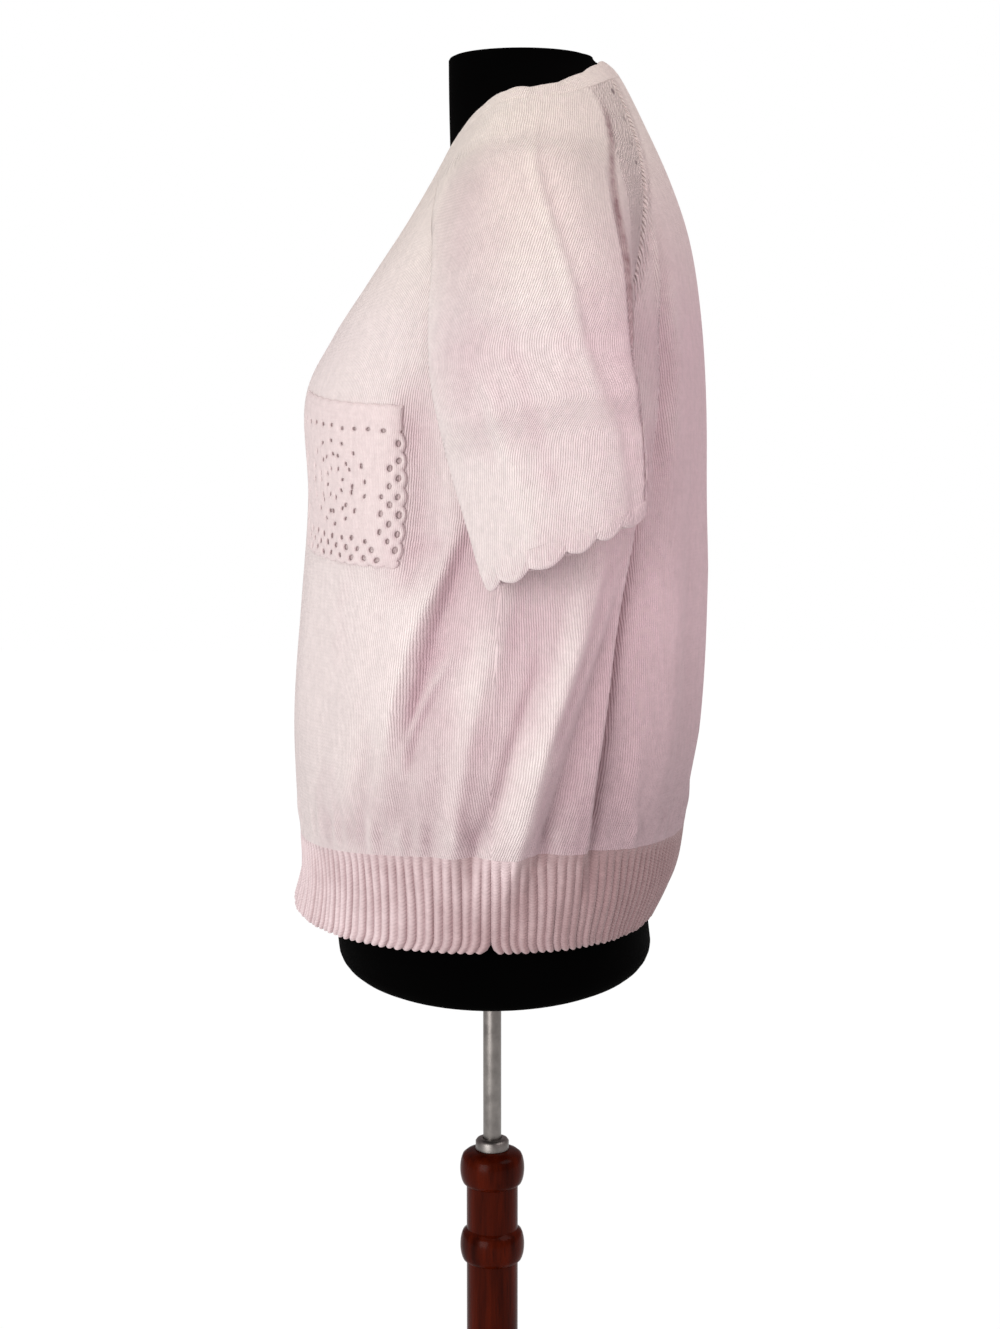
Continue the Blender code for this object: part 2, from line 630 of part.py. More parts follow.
def make_pocket(name, material, group):
    """A crochet patch made from the points of the front, moved out, with its lace cut through."""
    across, down = POCKET_CELLS
    points = []
    for row in range(down + 1):
        for column in range(across + 1):
            points.append(patch_point(column / across, row / down))
    faces = []
    for row in range(down):
        for column in range(across):
            low = row * (across + 1) + column
            high = low + across + 1
            corners = (low, low + 1, high + 1, high)
            if not has_hole(column, row):
                faces.append(corners)
                continue
            start = len(points)
            centre = sum((points[corner] for corner in corners), Vector()) / 4
            for corner in corners:
                points.append(centre.lerp(points[corner], LACE_HOLE_SHARE))
            for side in range(4):
                after = (side + 1) % 4
                faces.append((corners[side], corners[after], start + after, start + side))
    pocket = make_object(name, points, faces, material, group, smooth=False)
    add_wall(pocket, POCKET_WALL)
    return pocket


def inset_at(level, angle):
    """How far the form lies inside the cloth."""
    rows = FORM_INSETS
    for low, high in zip(rows, rows[1:]):
        if level <= high[0]:
            break
    share = min(max((level - low[0]) / (high[0] - low[0]), 0), 1)
    share = share * share * (3 - 2 * share)
    blend = [start + (end - start) * share for start, end in zip(low, high)]
    row = dict(zip(INSET_COLUMNS, blend))
    cosine = math.cos(math.radians(angle))
    end = row["front"] if cosine > 0 else row["back"]
    return row["side"] + (end - row["side"]) * cosine ** 2


def oval_ring(half_width, front, back, middle, height):
    points = []
    for column in range(FORM_COLUMNS):
        turn = 2 * math.pi * column / FORM_COLUMNS
        reach = -(front + middle) if math.cos(turn) > 0 else back - middle
        points.append(Vector((half_width * math.sin(turn), middle + reach * abs(math.cos(turn)), height)))
    return points


def make_form(name, material, group):
    """The limbless torso: smooth, closed and just clear of the cloth that it carries."""
    rings = []
    for rise, shrink in FORM_EDGE_PROFILE:
        cut = shrink * FORM_EDGE_RADIUS
        rings.append(oval_ring(FORM_HEM_HALF_WIDTH - cut, FORM_HEM_FRONT - cut, FORM_HEM_BACK - cut,
                               0.0, FORM_BOTTOM + rise * FORM_EDGE_RADIUS))
    for level in (0.0, 1.0) + LOWER_LEVELS + SEAM_LEVELS + (NECKLINE_LEVEL,):
        ring = []
        for column in range(FORM_COLUMNS):
            angle = 360 * column / FORM_COLUMNS
            point = plain_body_point(level, angle)
            ring.append(point - body_normal(level, angle) * inset_at(level, angle))
        rings.append(ring)
    collar = rings[-1]
    neck = oval_ring(NECK_HALF_WIDTH, NECK_FRONT, NECK_BACK, NECK_MIDDLE, NECK_TOP)
    for share in NECK_SHARES:
        ring = []
        for low, high in zip(collar, neck):
            mixed = low.lerp(high, share)
            bulge = 1 - (1 - share) ** 2
            ring.append(Vector((low.x + (high.x - low.x) * bulge, low.y + (high.y - low.y) * bulge, mixed.z)))
        rings.append(ring)
    rings.append(oval_ring(NECK_HALF_WIDTH, NECK_FRONT, NECK_BACK, NECK_MIDDLE, NECK_TOP - NECK_EDGE))
    rings.append(oval_ring(NECK_HALF_WIDTH - NECK_EDGE, NECK_FRONT - NECK_EDGE, NECK_BACK - NECK_EDGE,
                           NECK_MIDDLE, NECK_TOP))
    points = [point for ring in rings for point in ring]
    faces = grid_faces(len(rings), FORM_COLUMNS, closed=True)
    faces.append(tuple(reversed(range(FORM_COLUMNS))))
    top = (len(rings) - 1) * FORM_COLUMNS
    faces.append(tuple(range(top, top + FORM_COLUMNS)))
    return make_object(name, points, faces, material, group)


def turned(name, profile, material, group, sides=TURNED_SIDES):
    """A turned solid from a profile of radius and height, from its top down its outer side."""
    mesh = bpy.data.meshes.new(name)
    corners = [(radius, 0, height) for radius, height in profile]
    edges = [(index, index + 1) for index in range(len(profile) - 1)]
    mesh.from_pydata(corners, edges, [])
    mesh.materials.append(material)
    thing = bpy.data.objects.new(name, mesh)
    group.objects.link(thing)
    screw = thing.modifiers.new("turn", "SCREW")
    screw.axis = "Z"
    screw.steps = sides
    screw.render_steps = sides
    screw.use_merge_vertices = True
    screw.merge_threshold = 0.00001
    screw.use_smooth_shade = True
    return thing


def post_profile():
    """The turned post: a bore for the rod, two rings and a plain shaft."""
    bore = ROD_RADIUS + BORE_CLEARANCE
    profile = [(0, POST_TOP - ROD_SINK), (bore, POST_TOP - ROD_SINK), (bore, POST_TOP),
               (POST_RADIUS - POST_CHAMFER, POST_TOP)]
    for centre in RING_CENTRES:
        for share in RING_SHARES:
            swell = math.sqrt(1 - share ** 2)
            radius = POST_RADIUS + (RING_RADIUS - POST_RADIUS) * swell
            profile.append((radius, centre + share * RING_HALF_HEIGHT))
    foot = BASE_HEIGHT + SEAM_GAP
    profile += [(POST_RADIUS + flare, foot + rise) for rise, flare in POST_FOOT]
    profile.append((0, foot))
    return profile


def base_profile():
    """The plain turned base: a shallow dome with a square edge."""
    profile = [(0, BASE_HEIGHT)]
    profile += [(BASE_RADIUS * share, BASE_HEIGHT - drop) for share, drop in BASE_PROFILE]
    profile += [(BASE_RADIUS, BASE_EDGE), (BASE_RADIUS - BASE_EDGE, 0), (0, 0)]
    return profile


def make_stand(wood, metal, group):
    turned("base", base_profile(), wood, group, BASE_SIDES)
    turned("post", post_profile(), wood, group)
    seat = FORM_BOTTOM - SEAM_GAP
    rod_top = seat - SOCKET_HEIGHT - SEAM_GAP
    rod_foot = POST_TOP - ROD_SINK + SEAM_GAP
    turned("rod", [(0, rod_top), (ROD_RADIUS, rod_top), (ROD_RADIUS, rod_foot), (0, rod_foot)],
           metal, group, ROD_SIDES)
    hole = ROD_RADIUS + BORE_CLEARANCE
    collar_wall, lip = SOCKET_COLLAR
    socket_foot = seat - SOCKET_HEIGHT
    turned("form_socket", [(0, seat), (SOCKET_RADIUS, seat), (SOCKET_RADIUS, seat - SOCKET_FLANGE),
                           (hole + collar_wall, socket_foot + lip), (hole + lip, socket_foot),
                           (0, socket_foot)], metal, group)
    nut_foot = POST_TOP + SEAM_GAP
    nut_top = nut_foot + NUT_HEIGHT
    turned("rod_nut", [(hole, nut_top), (NUT_RADIUS - NUT_CHAMFER, nut_top),
                       (NUT_RADIUS, nut_top - NUT_CHAMFER), (NUT_RADIUS, nut_foot), (hole, nut_foot),
                       (hole, nut_top)], metal, group)


def build():
    clear_scene()
    group = collection_for(COLLECTION_NAME)
    knit = make_material("knit", (0.86, 0.74, 0.77), 0.95)
    sleeve_knit = make_material("sleeve_knit", (0.87, 0.76, 0.78), 0.95)
    rib = make_material("rib", (0.85, 0.72, 0.75), 0.95)
    crochet = make_material("crochet", (0.88, 0.78, 0.79), 0.90)
    jersey = make_material("black_jersey", (0.012, 0.011, 0.012), 0.9)
    wood = make_material("dark_wood", (0.16, 0.035, 0.015), 0.25)
    metal = make_material("grey_metal", (0.35, 0.34, 0.33), 0.35, 1.0)
    make_panel("front", False, knit, group)
    make_panel("back", True, knit, group)
    make_welt("front_welt", False, rib, group)
    make_welt("back_welt", True, rib, group)
    for name, side in (("left", 1), ("right", -1)):
        make_sleeve("sleeve_" + name, side, sleeve_knit, group)
        make_cuff_edging("cuff_edging_" + name, side, crochet, group)
    make_neck_edging("neck_edging", crochet, group)
    make_pocket("chest_pocket", crochet, group)
    make_form("dress_form", jersey, group)
    make_stand(wood, metal, group)


build()
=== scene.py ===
import bpy
import math
import numpy as np
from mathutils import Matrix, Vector


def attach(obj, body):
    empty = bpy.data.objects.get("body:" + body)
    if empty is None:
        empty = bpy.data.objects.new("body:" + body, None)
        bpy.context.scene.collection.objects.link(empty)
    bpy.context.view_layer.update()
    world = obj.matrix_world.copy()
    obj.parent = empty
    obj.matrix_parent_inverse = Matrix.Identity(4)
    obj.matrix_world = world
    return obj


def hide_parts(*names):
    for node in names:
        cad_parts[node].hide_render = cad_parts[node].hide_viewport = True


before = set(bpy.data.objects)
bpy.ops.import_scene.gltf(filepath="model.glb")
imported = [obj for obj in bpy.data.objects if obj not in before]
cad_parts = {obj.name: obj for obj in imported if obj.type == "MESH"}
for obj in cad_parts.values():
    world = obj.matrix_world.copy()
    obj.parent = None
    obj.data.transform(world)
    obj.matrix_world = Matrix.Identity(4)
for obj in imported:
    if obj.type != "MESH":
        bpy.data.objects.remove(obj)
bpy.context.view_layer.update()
print("frame loaded:", len(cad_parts), "solids")


def newObject(name, data):
    thing = bpy.data.objects.new(name, data)
    bpy.context.scene.collection.objects.link(thing)
    return thing


def aimed(way):  # the turn of a camera or a light that looks along the way
    return way.to_track_quat("-Z", "Y").to_euler()


# The camera of the photograph: from the wearer's left, a little above the middle.
cameraSettings = {"lens": 61.92, "sensor": 36, "place": (1.60, 0.0056, 1.165), "pitchDown": 6.6}
cameraData = bpy.data.cameras.new("camera")
cameraData.lens = cameraSettings["lens"]
cameraData.sensor_width = cameraSettings["sensor"]
camera = newObject("camera", cameraData)
camera.location = cameraSettings["place"]
pitch = math.radians(cameraSettings["pitchDown"])
camera.rotation_euler = aimed(Vector((-math.cos(pitch), 0, -math.sin(pitch))))
bpy.context.scene.camera = camera

# The front and the back, in metres and degrees. Angles run from the centre front to the wearer's left.
body = {
    "rows": 130, "columns": 281, "wall": 0.0018,
    "seamGap": 0.0003,  # between a panel and a sleeve
    "seamFurrow": (0.0010, 0.0016),  # depth and width of the raglan seam
    "seamRidge": (0.0005, 0.0036, 0.0019),  # the ridge beside it: height, way from the seam and width
    "frontSeam": 0.2,  # how deep the front's raglan seam is beside the back's
    "rightFolds": (4, 0.85),  # the left side's folds on the right: turned by so much, and so high
    "drift": 0.0008,  # slow unevenness above the rib
    "gathers": 0.0007,  # small pleats where the cloth meets the rib
    "seamLevels": [7.0, 7.35, 7.75, 8.25, 8.8, 9.4, 10.0, 10.65, 11.3, 12.0],  # sleeve stations 9 to 0
    # Rings from the hem to the neck: heights at front, side and back, half width, reach to front and
    # back, middle, squareness of front and back, and the angles of the two raglan seams.
    "rings": [
        (0.818, 0.8125, 0.811, 0.17, 0.1395, 0.113, 0, 2.4, 2.3, 90, 90),
        (0.843, 0.845, 0.843, 0.1735, 0.1335, 0.129, 0, 2.45, 2.3, 90, 90),
        (0.87, 0.8775, 0.875, 0.178, 0.1338, 0.135, 0, 2.5, 2.35, 90, 90),
        (0.908, 0.913, 0.91, 0.187, 0.1365, 0.14, 0, 2.5, 2.35, 90, 90),
        (0.955, 0.955, 0.955, 0.19, 0.1368, 0.145, 0, 2.5, 2.35, 90, 90),
        (1.03, 1.03, 1.03, 0.1875, 0.131, 0.147, 0.005, 2.55, 2.35, 90, 90),
        (1.1, 1.1, 1.1, 0.1815, 0.1258, 0.148, 0.008, 2.7, 2.35, 90, 90),
        (1.165, 1.165, 1.165, 0.173, 0.1272, 0.1472, 0.012, 2.8, 2.35, 90, 90),
        (1.205, 1.222, 1.222, 0.17, 0.109, 0.1432, 0.014, 2.6, 2.3, 76, 118),
        (1.238, 1.275, 1.27, 0.164, 0.0868, 0.1355, 0.016, 2.4, 2.25, 63, 129),
        (1.27, 1.312, 1.31, 0.15, 0.065, 0.1225, 0.018, 2.2, 2.15, 52, 138),
        (1.298, 1.342, 1.35, 0.12, 0.048, 0.1045, 0.02, 2.1, 2.1, 41, 146),
        (1.3176, 1.3597, 1.3825, 0.0917, 0.0378, 0.088, 0.022, 2, 2, 32, 151),
        (1.3308, 1.368, 1.394, 0.078, 0.0302, 0.0765, 0.022, 2, 2, 28, 153),
    ],
    # Folds of the cloth: angle and height of the top, the same of the bottom, bend, widths of the fold
    # on its front side and behind, height.
    "folds": [
        (112, 1.06, 92, 0.85, -1, 0.018, 0.006, 0.0088),
        (119, 1.045, 98, 0.85, -1, 0.005, 0.016, -0.0066),
        (127, 1.115, 114.5, 0.866, -1.2, 0.004, 0.026, -0.0098),
        (91.5, 1.05, 82, 0.862, 0, 0.009, 0.006, 0.0052),
        (98, 1, 86.5, 0.862, 0, 0.0045, 0.0045, -0.004),
        (80, 1.06, 66.5, 0.95, -2.4, 0.023, 0.0055, 0.0062),
        (87, 1.09, 72, 0.942, -2.4, 0.005, 0.019, -0.0088),
        (82.5, 1.006, 70.6, 0.932, -2, 0.0045, 0.004, 0.0036),
        (72, 0.952, 69, 0.896, 0, 0.012, 0.012, -0.003),
        (72, 1.17, 73.5, 1.05, 1, 0.015, 0.016, -0.008),
        (134, 1.225, 129, 1.115, 1, 0.007, 0.013, -0.003),
    ],
    # Finer creases laid over them, the one with a dark line of painted shade along it at the left side first.
    # Where a row has one width, it is the same on both sides. Negative angles are the wearer's right.
    "creases": [
        (126.8, 1.11, 115.2, 0.875, -1.2, 0.0022, 0.005, -0.005),
        (125.6, 1.11, 114, 0.875, -1.2, 0.004, 0.0018, 0.0016),
        (134.8, 1.275, 129.6, 1.12, 0, 0.003, 0.002, 0.0024),
        (136.6, 1.275, 131.2, 1.105, 0, 0.002, 0.014, -0.0046),
        (114.5, 1.03, 94.5, 0.866, -1, 0.003, 0.0028, 0.0012),
        (108, 1.06, 98, 0.93, 1, 0.005, 0.0016),
        (103, 1.03, 96.5, 0.955, 0, 0.004, -0.0012),
        (75.5, 1.16, 77.5, 1.06, 2, 0.0055, -0.0012),
        (82, 1.17, 84, 1.1, 1, 0.006, 0.0014),
        (68.5, 1.125, 71, 1.045, 0, 0.007, -0.001),
        (141.5, 1.235, 138, 1.12, 1, 0.0075, 0.0016),
        (57, 1.05, 50, 0.905, 2, 0.015, 0.0018),
        (44, 0.985, 38, 0.88, -1, 0.011, -0.0012),
        (62, 0.965, 57, 0.884, 0, 0.008, -0.0014),
        (28, 1.06, 24, 0.95, 1, 0.018, 0.0016),
        (103.5, 0.93, 101, 0.882, 0, 0.006, -0.0014),
        (128, 0.945, 125, 0.884, 1, 0.008, 0.0018),
        (141, 1.06, 136, 0.9, 2, 0.013, 0.0026),
        (150, 1.13, 149, 0.96, -1, 0.011, -0.0018),
        (163, 1.09, 158, 0.905, 2, 0.017, 0.003),
        (172, 1.02, 169, 0.89, 0, 0.012, -0.0018),
        (-12, 1.03, -20, 0.9, 2, 0.017, 0.0017),
        (-36, 1.09, -42, 0.915, -2, 0.014, 0.002),
        (-52, 1.01, -55, 0.882, 1, 0.01, -0.0017),
        (-69, 1.15, -74, 1.05, 1, 0.008, -0.0024),
        (-80, 1.08, -71, 0.96, 1, 0.005, -0.002),
        (-84.5, 1.045, -78, 0.93, -1, 0.006, 0.0018),
        (-97, 1.06, -92, 0.89, 1, 0.006, -0.0018),
        (-112, 1.085, -98, 0.885, 3, 0.005, 0.0017),
        (-123, 1.11, -112, 0.89, 2, 0.0045, -0.0026),
        (-133, 1.255, -128, 1.13, 1, 0.005, -0.0026),
        (-140, 1.05, -134, 0.905, -2, 0.012, 0.0026),
        (-152, 1.11, -156, 0.95, 1, 0.013, -0.0022),
        (-166, 1.06, -171, 0.895, 1, 0.016, 0.0028),
        (-178, 1.12, -176, 0.985, 1, 0.015, -0.0015),
    ],
}


def tableAt(table, place):  # a smooth curve through the rows of a table
    table = np.asarray(table, float)
    place = np.asarray(place, float)
    index = np.clip(np.floor(place).astype(int), 0, len(table) - 2)
    share = (place - index)[..., None]
    before, start, end, after = [table[np.clip(index + step, 0, len(table) - 1)] for step in (-1, 0, 1, 2)]
    bend = 2 * before - 5 * start + 4 * end - after
    turn = -before + 3 * start - 3 * end + after
    return 0.5 * (2 * start + (end - before) * share + bend * share ** 2 + turn * share ** 3)


def unit(vectors):
    return vectors / np.maximum(np.linalg.norm(vectors, axis=-1, keepdims=True), 1e-9)


def hill(value, centre, width):  # 1 at its centre, and soft on both sides
    return np.exp(-((value - centre) / width) ** 2)


def lengthsAlong(points):
    steps = np.linalg.norm(np.diff(points, axis=0), axis=-1)
    return np.concatenate(([0.0], np.cumsum(steps)))


def bodyPlain(level, angle):  # where the cloth is without its folds
    level, angle = np.broadcast_arrays(np.asarray(level, float), np.asarray(angle, float))
    row = np.moveaxis(tableAt(body["rings"], level), -1, 0)
    zFront, zSide, zBack, half, front, back, middle, squareFront, squareBack = row[:9]
    sine = np.sin(np.radians(angle))
    cosine = np.cos(np.radians(angle))
    ahead = cosine >= 0
    power = 2 / np.where(ahead, squareFront, squareBack)
    reach = np.where(ahead, -(front + middle), back - middle)
    zEnd = np.where(ahead, zFront, zBack)
    x = np.sign(sine) * np.abs(sine) ** power * half
    y = middle + reach * np.abs(cosine) ** power
    return np.stack((x, y, zSide + (zEnd - zSide) * cosine ** 2), -1)


def bodyNormal(level, angle):
    rise = bodyPlain(level + 0.02, angle) - bodyPlain(level - 0.02, angle)
    turn = bodyPlain(level, angle + 0.4) - bodyPlain(level, angle - 0.4)
    return unit(np.cross(turn, rise))


def foldsOf(table, angle, height):
    total = np.zeros(np.broadcast(angle, height).shape)
    for topAngle, topZ, lowAngle, lowZ, bend, *widths, size in table:
        share = (topZ - height) / (topZ - lowZ)
        inside = np.clip(share, 0, 1)
        path = topAngle + (lowAngle - topAngle) * inside + bend * 4 * inside * (1 - inside)
        away = (angle - path + 180) % 360 - 180
        across = np.radians(away) * 0.16 / np.where(away < 0, widths[0], widths[-1])
        taper = np.clip(np.minimum((share + 0.15) / 0.35, (1.1 - share) / 0.30), 0, 1)
        total += size * np.exp(-across ** 2) * taper
    return total


def clothHeight(angle, height):
    shift, share = body["rightFolds"]
    turned = (angle + 180) % 360 - 180
    left = foldsOf(body["folds"], turned, height) * (turned >= 0)
    right = foldsOf(body["folds"], -turned + shift, height) * share * (turned < 0)
    fine = foldsOf(body["creases"], turned, height)
    turn = np.radians(turned)
    drift = body["drift"] * np.sin(5 * turn + 9 * height + 0.6) * np.sin(23 * height + 2 * turn)
    gathers = np.sin(31 * turn + 0.7) + np.sin(47 * turn + 2.1) + 0.7 * np.sin(73 * turn)
    gathers = body["gathers"] * gathers
    return left + right + fine + drift * hill(height, 0.955, 0.075) + gathers * hill(height, 0.889, 0.011)


def clothPoint(level, angle, lift=0.0):  # where the cloth is with its folds
    level, angle = np.broadcast_arrays(np.asarray(level, float), np.asarray(angle, float))
    plain = bodyPlain(level, angle)
    out = clothHeight(angle, plain[..., 2]) + lift
    return plain + bodyNormal(level, angle) * out[..., None]


def gridNormals(grid, closed=False):
    across = np.roll(grid, -1, 1) - np.roll(grid, 1, 1)
    if not closed:
        across[:, 0] = grid[:, 1] - grid[:, 0]
        across[:, -1] = grid[:, -1] - grid[:, -2]
    return unit(np.cross(across, np.gradient(grid, axis=0)))


def meshObject(name, points, faces, uvs):  # each part of uvs has two columns for each layer of places
    mesh = bpy.data.meshes.new(name)
    mesh.from_pydata(points.tolist(), [], [tuple(face) for face in faces])
    corners = np.concatenate([np.asarray(part).reshape(-1, uvs[0].shape[-1]) for part in uvs])
    for index, layerName in enumerate(("cloth", "seam", "fold")[:corners.shape[1] // 2]):
        layer = mesh.uv_layers.new(name=layerName)
        layer.data.foreach_set("uv", corners[:, 2 * index:2 * index + 2].astype(np.float32).ravel())
    mesh.shade_smooth()
    return newObject(name, mesh)


def around(up, top, down, low):  # the four edges of a sheet, joined into one closed line
    return np.concatenate((up[:-1], top[:-1], down[:-1], low[:-1], up[:1]))


def shellObject(name, outer, inner, uv, closed=False, flip=False, roll=0.35):
    rows, columns = outer.shape[:2]
    count = rows * columns
    rowIds, columnIds = np.meshgrid(np.arange(rows - 1), np.arange(columns - (not closed)), indexing="ij")
    rowIds, columnIds = rowIds.ravel(), columnIds.ravel()
    cornerRows = np.stack((rowIds, rowIds, rowIds + 1, rowIds + 1), 1)
    cornerColumns = np.stack((columnIds, columnIds + 1, columnIds + 1, columnIds), 1)
    quads = cornerRows * columns + cornerColumns % columns
    faces = [quads, count + quads[:, ::-1]]
    uvs = [uv[cornerRows, cornerColumns], uv[cornerRows, cornerColumns][:, ::-1]]
    points = [outer.reshape(-1, 3), inner.reshape(-1, 3)]
    up = np.arange(rows)
    along = np.arange(columns + closed)
    top, low = np.full_like(along, rows - 1), np.zeros_like(along)
    if closed:
        loops = [(top, along, top - 1, along), (low, along[::-1], low + 1, along[::-1])]
    else:  # one loop round all four edges, and beside it the loop one step in
        right = np.full_like(up, columns - 1)
        left = np.zeros_like(up)
        loops = [(around(up, top, up[::-1], low), around(left, along, right, along[::-1]),
                  around(up, top - 1, up[::-1], low + 1), around(left + 1, along, right - 1, along[::-1]))]
    start = 2 * count
    for loopRows, loopColumns, besideRows, besideColumns in loops:
        size = len(loopRows) - 1
        edge = outer[loopRows[:-1], loopColumns[:-1] % columns]
        under = inner[loopRows[:-1], loopColumns[:-1] % columns]
        away = unit(edge - outer[besideRows[:-1], besideColumns[:-1] % columns])
        thick = np.linalg.norm(edge - under, axis=-1, keepdims=True)
        points.append((edge + under) / 2 + away * thick * roll)
        ids = loopRows * columns + loopColumns % columns
        middle = start + np.arange(size + 1) % size
        start += size
        faces.append(np.stack((ids[:-1], ids[1:], middle[1:], middle[:-1]), 1))
        faces.append(np.stack((middle[:-1], middle[1:], count + ids[1:], count + ids[:-1]), 1))
        pair = uv[loopRows, loopColumns]
        strip = np.stack((pair[:-1], pair[1:], pair[1:], pair[:-1]), 1)
        uvs += [strip, strip]
    if flip:
        faces = [part[:, ::-1] for part in faces]
        uvs = [part[:, ::-1] for part in uvs]
    thing = meshObject(name, np.concatenate(points), np.concatenate(faces), uvs)
    if roll < 0.3:
        thing.data.set_sharp_from_angle(angle=math.radians(50))
    return thing


def evenLevels(first, last, count, angle):  # levels at even steps along the cloth
    dense = np.linspace(first, last, 400)
    run = lengthsAlong(bodyPlain(dense, angle))
    return np.interp(np.linspace(0, run[-1], count), run, dense)


def spacing(columns):  # places from -1 to 1, closer together at both ends
    even = np.linspace(-1, 1, columns)
    return 1.3 * even - 0.3 * even ** 3


def ringRun(level, edge, back):  # the angles along a row of the front or back, and the way to each
    angles = np.linspace(-1, 1, 241) * edge + (180 if back else 0)
    return angles, lengthsAlong(bodyPlain(level, angles))


# Painted light and shade: through this tone the yarn is lighter on folds and darker and pinker in hollows.
def foldShadeTone(angles, grid):  # above 0 on a fold and below 0 in a hollow, for the yarn's colour
    return clothHeight(angles, grid[..., 2]) / 0.008


def seamProfile(away):
    depth, width = body["seamFurrow"]
    height, centre, spread = body["seamRidge"]
    return -depth * hill(away, 0, width) + height * hill(away, centre, spread)


def panelShell(name, back):
    levels = evenLevels(2, 12 - 0.004, body["rows"], 180 if back else 0)
    ring = tableAt(body["rings"], levels)
    raglan = np.clip((levels - 6.9) / 0.3, 0, 1)
    gap = np.degrees(body["seamGap"] / 2 / ring[:, 3]) * raglan
    half = (180 - np.maximum(ring[:, 10], 90) if back else np.minimum(ring[:, 9], 90)) - gap
    spread = spacing(body["columns"])
    away = np.empty((body["rows"], body["columns"]))
    angles = np.empty_like(away)
    for index, (level, edge) in enumerate(zip(levels, half)):
        dense, run = ringRun(level, edge, back)
        away[index] = spread * run[-1] / 2
        angles[index] = np.interp(away[index] + run[-1] / 2, run, dense)
    fromEdge = np.abs(away[:, :1]) - np.abs(away)
    seam = seamProfile(fromEdge) * raglan[:, None] * (1 if back else body["frontSeam"])
    outer = clothPoint(levels[:, None], angles, seam)
    inner = outer - gridNormals(outer) * body["wall"]
    up = lengthsAlong(outer[:, body["columns"] // 2])[:, None] + 0 * away
    # Painted shade: a dark line down the first crease.
    wornCrease = foldsOf(body["creases"][:1], (angles + 180) % 360 - 180, outer[..., 2])
    worn = 0.7 * np.clip(-wornCrease / 0.0046, 0, 1) ** 2
    # Painted shade: the front is darkened behind the pocket, so that the pocket's holes look dark.
    if not back:
        worn = np.maximum(worn, 0.55 * behindPocket(outer))
    uv = np.stack((away, up, fromEdge, up, foldShadeTone(angles, outer), worn), -1)
    return shellObject(name, outer, inner, uv, roll=0.08)


# The sleeves, from station 0 at the neck to 14 at the cuff's end. A share round runs from 0 at the front
# seam to 1 at the back one.
sleeve = {
    "rows": 112, "columns": 181, "wall": 0.0018,
    # Guide points: hang, then front, crown, back and inner points, station by station.
    "stations": [
        (0, 0.09, -0.025, 1.34, 0.092, 0.022, 1.36, 0.08, 0.066, 1.37, 0, 0, 0),
        (0, 0.11, -0.028, 1.33, 0.12, 0.022, 1.343, 0.1, 0.068, 1.35, 0, 0, 0),
        (0.15, 0.118, -0.03, 1.322, 0.152, 0.022, 1.332, 0.125, 0.07, 1.325, 0, 0, 0),
        (0.75, 0.128, -0.0295, 1.308, 0.18, 0.02, 1.315, 0.148, 0.072, 1.307, 0, 0, 0),
        (1, 0.15, -0.0328, 1.278, 0.199, 0.018, 1.285, 0.169, 0.0765, 1.28, 0, 0, 0),
        (1, 0.168, -0.0352, 1.245, 0.209, 0.018, 1.252, 0.181, 0.0825, 1.25, 0, 0, 0),
        (1, 0.18, -0.0375, 1.215, 0.216, 0.019, 1.224, 0.189, 0.0852, 1.224, 0, 0, 0),
        (1, 0.187, -0.0378, 1.191, 0.22, 0.021, 1.202, 0.194, 0.0865, 1.204, 0, 0, 0),
        (1, 0.191, -0.0362, 1.171, 0.223, 0.024, 1.184, 0.198, 0.088, 1.188, 0, 0, 0),
        (1, 0.195, -0.0322, 1.15, 0.225, 0.028, 1.165, 0.201, 0.0905, 1.172, 0, 0, 0),
        (1, 0.199, -0.0265, 1.127, 0.227, 0.033, 1.144, 0.204, 0.0928, 1.154, 0.1815, 0.03, 1.14),
        (1, 0.202, -0.0198, 1.104, 0.229, 0.038, 1.123, 0.206, 0.0945, 1.136, 0.1855, 0.036, 1.12),
        (1, 0.205, -0.0135, 1.083, 0.231, 0.043, 1.103, 0.208, 0.095, 1.119, 0.1885, 0.042, 1.101),
        (1, 0.207, -0.008, 1.064, 0.232, 0.047, 1.085, 0.209, 0.0948, 1.104, 0.1905, 0.046, 1.084),
        (1, 0.208, -0.0015, 1.049, 0.232, 0.05, 1.0725, 0.209, 0.094, 1.093, 0.1915, 0.049, 1.071),
    ],
    # Creases: side, share round and station of the top, the same of the bottom, width as a share, and
    # height in metres.
    "creases": [
        (1, 0.3, 8, 0.36, 13.5, 0.035, 0.0012),
        (1, 0.93, 3, 0.9, 9, 0.008, -0.0026),
        (1, 0.9, 9, 0.896, 13.8, 0.009, -0.0026),
        (1, 0.44, 6.5, 0.5, 12.5, 0.04, -0.0009),
        (-1, 0.56, 2.5, 0.72, 12, 0.03, 0.0018),
        (-1, 0.63, 2.5, 0.79, 13, 0.022, -0.0022),
        (-1, 0.24, 4, 0.33, 11, 0.04, -0.0018),
        (-1, 0.38, 7, 0.42, 13.5, 0.038, 0.0014),
        (-1, 0.88, 4, 0.84, 10, 0.03, -0.0018),
        (-1, 0.48, 9, 0.54, 13.5, 0.03, -0.0012),
    ],
    # The dark line of painted shade along the back edge, where the fold casts its shadow: station and share
    # round.
    "edgeLine": [(1.0, 0.938), (6.9, 0.925), (8.7, 0.899), (14.0, 0.895)],
    # The soft turn down the sleeve, between its lit face and its shaded one, and how deep it is.
    "troughLine": [(1.0, 0.53), (3.1, 0.575), (4.5, 0.67), (5.7, 0.725), (9.2, 0.785), (10.2, 0.81),
                   (14.0, 0.822)],
    "troughDepth": 0.0034,
}


def seamAngles(level):  # where the front and the back end on a ring, and the sleeve begins
    ring = tableAt(body["rings"], level)
    gap = np.degrees(body["seamGap"] / 2 / ring[3])
    return min(ring[9], 90) + gap, max(ring[10], 90) - gap


